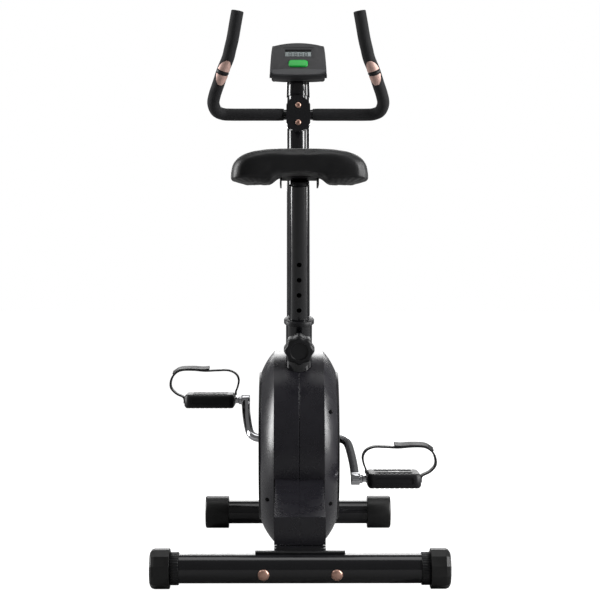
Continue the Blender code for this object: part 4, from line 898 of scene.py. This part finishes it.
def console():
    outline = [(-0.0560, 0.030), (-0.0500, 0.0385), (-0.0250, 0.0450), (0, 0.0470), (0.0250, 0.0450),
               (0.0500, 0.0385), (0.0560, 0.030), (0.0597, -0.038), (0.0570, -0.0445), (0.0300, -0.0475),
               (0, -0.0485), (-0.0300, -0.0475), (-0.0570, -0.0445), (-0.0597, -0.038)]
    closed = outline + outline[:1]
    fine = []
    for k in range(len(outline)):
        a, b, c, d = (Vector((*closed[(k + n) % len(outline)], 0)) for n in (-1, 0, 1, 2))
        for step in range(6):
            t = step / 6
            point = 0.5 * (2 * b + t * (c - a) + t * t * (2 * a - 5 * b + 4 * c - d)
                           + t ** 3 * (3 * b - a - 3 * c + d))
            fine.append((point.x, point.y))
    levels = [(-0.0060, 0.965), (-0.0057, 0.980), (-0.0050, 0.992), (-0.0038, 1.0), (0.0060, 1.0)]
    body = loft([[(a * s, y, b * s) for a, b in fine] for y, s in levels])
    window = extruded(rounded(0.0280, 0.010, 0.0015, 4, (0, 0.0175)), -0.010, 0.010, "Y")
    hole = extruded(rounded(0.0207, 0.0102, 0.0072, 10, (0, BUTTON_HEIGHT)), -0.010, 0.010, "Y")
    ledge = extruded(rounded(0.0330, 0.0150, 0.003, 6, (0, 0.0175)), -0.0065, -0.0053, "Y")
    piece("console_face", body, CONSOLE, CONSOLE_SKIN, "frame", ["console_front"],
          0.0004, [(ledge, CONSOLE), (window, CONSOLE), (hole, CONSOLE)])
    rows = []
    for share in (0.0, 0.06, 0.5, 0.94, 1.0):
        row = []
        for k in range(-14, 15):
            x = 0.0585 * k / 14
            foot = max(b for a, b in ((a, b) for a, b in fine if b < -0.03) if abs(a - x) < 0.004) - 0.0004
            head = -0.0290 - 0.0030 * (x / 0.0585) ** 2
            row.append((x, head + (foot - head) * share))
        rows.append((share, row))
    front = [[(x, -0.0062 - 0.0030 * share, z) for x, z in row] for share, row in rows]
    rear = [[(x, -0.0052, z) for x, z in row] for share, row in rows]
    sections = [a + list(reversed(b)) for a, b in zip(front, rear)]
    # The lip is painted lighter than the face, as painted light on its downward bevel.
    piece("console_lip", loft(sections), CONSOLE, LIP_PAINTED_LIGHT_SKIN, "frame", bevel=0.0004)
    tub = []
    for y, above, below in ((0.0063, 0.93, 0.93), (0.0200, 0.93, 0.82), (0.0260, 0.91, 0.75),
                            (0.0310, 0.87, 0.69), (0.0335, 0.82, 0.64), (0.0340, 0.79, 0.61)):
        tub.append([(a * above, y, b * (above if b > 0 else below)) for a, b in fine])
    piece("console_tub", loft(tub), CONSOLE, CONSOLE_SKIN, "frame", ["console_back"])
    pane = extruded(rounded(0.0277, 0.0097, 0.0013, 4, (0, 0.0175)), -0.0045, -0.0025, "Y")
    piece("lcd_window", pane, CONSOLE, LCD, "frame", ["display_window"], 0.0003)
    header = extruded(rounded(0.0274, 0.0029, 0.0008, 4, (0, 0.0243)), -0.0052, -0.0044, "Y")
    piece("lcd_header", header, CONSOLE, INK, "frame")
    for k in range(4):
        x = -0.0165 + 0.0110 * k
        for across, up in DIGIT:
            middle = (x + across, 0.0140 + up * 0.75)
            halves = BAR_HALVES if across == 0 else reversed(BAR_HALVES)
            bar = extruded(rounded(*halves, 0.0004, 2, middle), -0.0047, -0.0044, "Y")
            piece(f"lcd_bar_{k}_{round(across * 1e4)}_{round(up * 1e4)}", bar, CONSOLE, INK, "frame")
    push = CONSOLE @ Matrix.Translation((0, 0, BUTTON_HEIGHT))
    sections = []
    for y, grow in ((-0.0086, -0.0030), (-0.0084, -0.0018), (-0.0078, -0.0007), (-0.0068, 0.0), (0.0066, 0.0),
                    (0.0066, 0.0022), (0.0081, 0.0022)):
        loop = rounded(0.0202 + grow, 0.0097 + grow, 0.0069 + grow, 10)
        sections.append([(a, y, b) for a, b in loop])
    piece("green_button_cap", loft(sections), push, GREEN, "button", ["mode_button"])


def neck():
    shape = [(0.010, 0.5260), (0.0217, 0.5260), (0.0217, 0.5354), (0.0247, 0.5354), (0.0250, 0.5360),
             (0.0243, 0.5920), (0.010, 0.5920)]
    room = [(-0.2, -0.0457), (0.0060, -0.0457), (0.0200, -0.0404), (0.0343, -0.0307), (0.0343, 0.2),
            (-0.2, 0.2)]
    piece("gloss_neck", turned(shape), POST, PAINT, "frame", ["neck_sleeve"], 0.0,
          [(extruded(room, -0.2, 0.2), CONSOLE)])


def dial():
    def ribs(angle, height):
        return 1 + 0.022 * math.cos(24 * angle) if -0.0585 < height < -0.0418 else 1

    shape = [(0, -0.0600), (0.0160, -0.0600), (0.0186, -0.0592), (0.0200, -0.0578), (0.0206, -0.0540),
             (0.0211, -0.0480), (0.0213, -0.0425), (0.0210, -0.0408), (0.0200, -0.0400), (0.0130, -0.0400),
             (0.0130, -0.0247), (0.0042, -0.0247), (0.0042, -0.0120), (0, -0.0120)]
    axis = POST @ Matrix.Translation((0, 0, KNOB_HEIGHT))
    mark = block((-0.0016, -0.0612, -0.0185), (0.0016, -0.0595, -0.0030))
    piece("tension_dial", turned(shape, "Y", 192, ribs), axis, BLACK, "knob_of_tension", ["tension_knob"],
          0.0, [(mark, axis, "UNION")], sharp=50)


# CAD nodes that keep their shape

def kept():
    finishes = {
        PAINT: ["bottom_bracket_shell", "fork_leg_left", "fork_leg_right", "post_socket"],
        SATIN: ["saddle_bracket"],
        BLACK: ["saddle_base", "drive_pulley", "tension_cable"],
        STEEL: ["pull_pin", "pin_spring", "magnet_bracket", "flywheel_axle", "bearing_cup_left",
                "bearing_cup_right"],
        IRON: ["flywheel"],
        RUBBER: ["drive_belt"],
    }
    for material, names in finishes.items():
        for name in names:
            mesh = frame["nodes"][name].data
            if not mesh.materials:
                mesh.materials.append(material)
            for k in range(len(mesh.materials)):
                mesh.materials[k] = material


# Studio

def area_light(name, place, aim, size, power):
    lamp = bpy.data.lights.new(name, "AREA")
    lamp.shape = "RECTANGLE"
    lamp.size, lamp.size_y = size
    lamp.energy = power
    made = bpy.data.objects.new(name, lamp)
    bpy.context.scene.collection.objects.link(made)
    made.location = place
    made.rotation_euler = (Vector(aim) - Vector(place)).to_track_quat("-Z", "Y").to_euler()


def studio():
    """A seamless white floor and sky; both are dimmer as light sources than they look."""
    floor = bpy.data.objects.new("floor", bpy.data.meshes.new("floor"))
    form = bmesh.new()
    bmesh.ops.create_grid(form, x_segments=1, y_segments=1, size=60.0)
    form.to_mesh(floor.data)
    form.free()
    bpy.context.scene.collection.objects.link(floor)
    pale = surface("pale_floor", (0.26, 0.26, 0.26), 0.55, grain=60, bump=0.0, tint=0.01, specular=0.0)
    nodes, links = pale.node_tree.nodes, pale.node_tree.links
    path = nodes.new("ShaderNodeLightPath")
    glow = nodes.new("ShaderNodeMath")
    glow.operation = "MULTIPLY"
    glow.inputs[1].default_value = 1.0
    links.new(path.outputs["Is Camera Ray"], glow.inputs[0])
    shader = nodes["Principled BSDF"]
    shader.inputs["Emission Color"].default_value = (1, 1, 1, 1)
    links.new(glow.outputs[0], shader.inputs["Emission Strength"])
    floor.data.materials.append(pale)
    world = bpy.data.worlds.new("studio")
    bpy.context.scene.world = world
    world.use_nodes = True
    nodes, links = world.node_tree.nodes, world.node_tree.links
    seen = nodes["Background"]
    seen.inputs["Color"].default_value = (1, 1, 1, 1)
    seen.inputs["Strength"].default_value = 1.0
    lit = nodes.new("ShaderNodeBackground")
    lit.inputs["Color"].default_value = (1, 1, 1, 1)
    lit.inputs["Strength"].default_value = 0.16
    path = nodes.new("ShaderNodeLightPath")
    mix = nodes.new("ShaderNodeMixShader")
    links.new(path.outputs["Is Camera Ray"], mix.inputs[0])
    links.new(lit.outputs[0], mix.inputs[1])
    links.new(seen.outputs[0], mix.inputs[2])
    links.new(mix.outputs[0], nodes["World Output"].inputs["Surface"])
    area_light("left_softbox", (-2.5, 0.40, 1.2), (0, 0, 0.5), (0.7, 2.2), 96)
    area_light("right_softbox", (2.25, -1.10, 1.2), (0, 0, 0.5), (0.55, 2.2), 92)
    area_light("right_rim", (2.5, 0.40, 1.2), (0, 0, 0.5), (0.6, 2.2), 52)
    area_light("top_softbox", (0, -0.2, 2.8), (0, 0, 0.4), (2.0, 1.4), 18)
    area_light("back_softbox", (0, 2.8, 1.7), (0, 0, 0.5), (2.4, 1.6), 50)


CAMERA_X, CAMERA_BACK, CAMERA_HEIGHT = -0.0173, 2.600, 0.490
CAMERA_TURN = math.radians(-0.375)


def camera():
    lens = bpy.data.cameras.new("camera")
    lens.lens = 91.7
    lens.sensor_width = 36.0
    made = bpy.data.objects.new("camera", lens)
    bpy.context.scene.collection.objects.link(made)
    made.location = (CAMERA_X, FOOT.y - CAMERA_BACK, CAMERA_HEIGHT)
    made.rotation_euler = (math.radians(90), 0, CAMERA_TURN)
    bpy.context.scene.camera = made


camera()
studio()
rear_foot()
front_foot()
beam()
seat_mast()
front_mast()
clamp()
shroud()
crank()
pedals()
saddle()
lobed_knob()
handlebar()
console()
neck()
dial()
kept()
bpy.context.scene.view_settings.view_transform = "Standard"
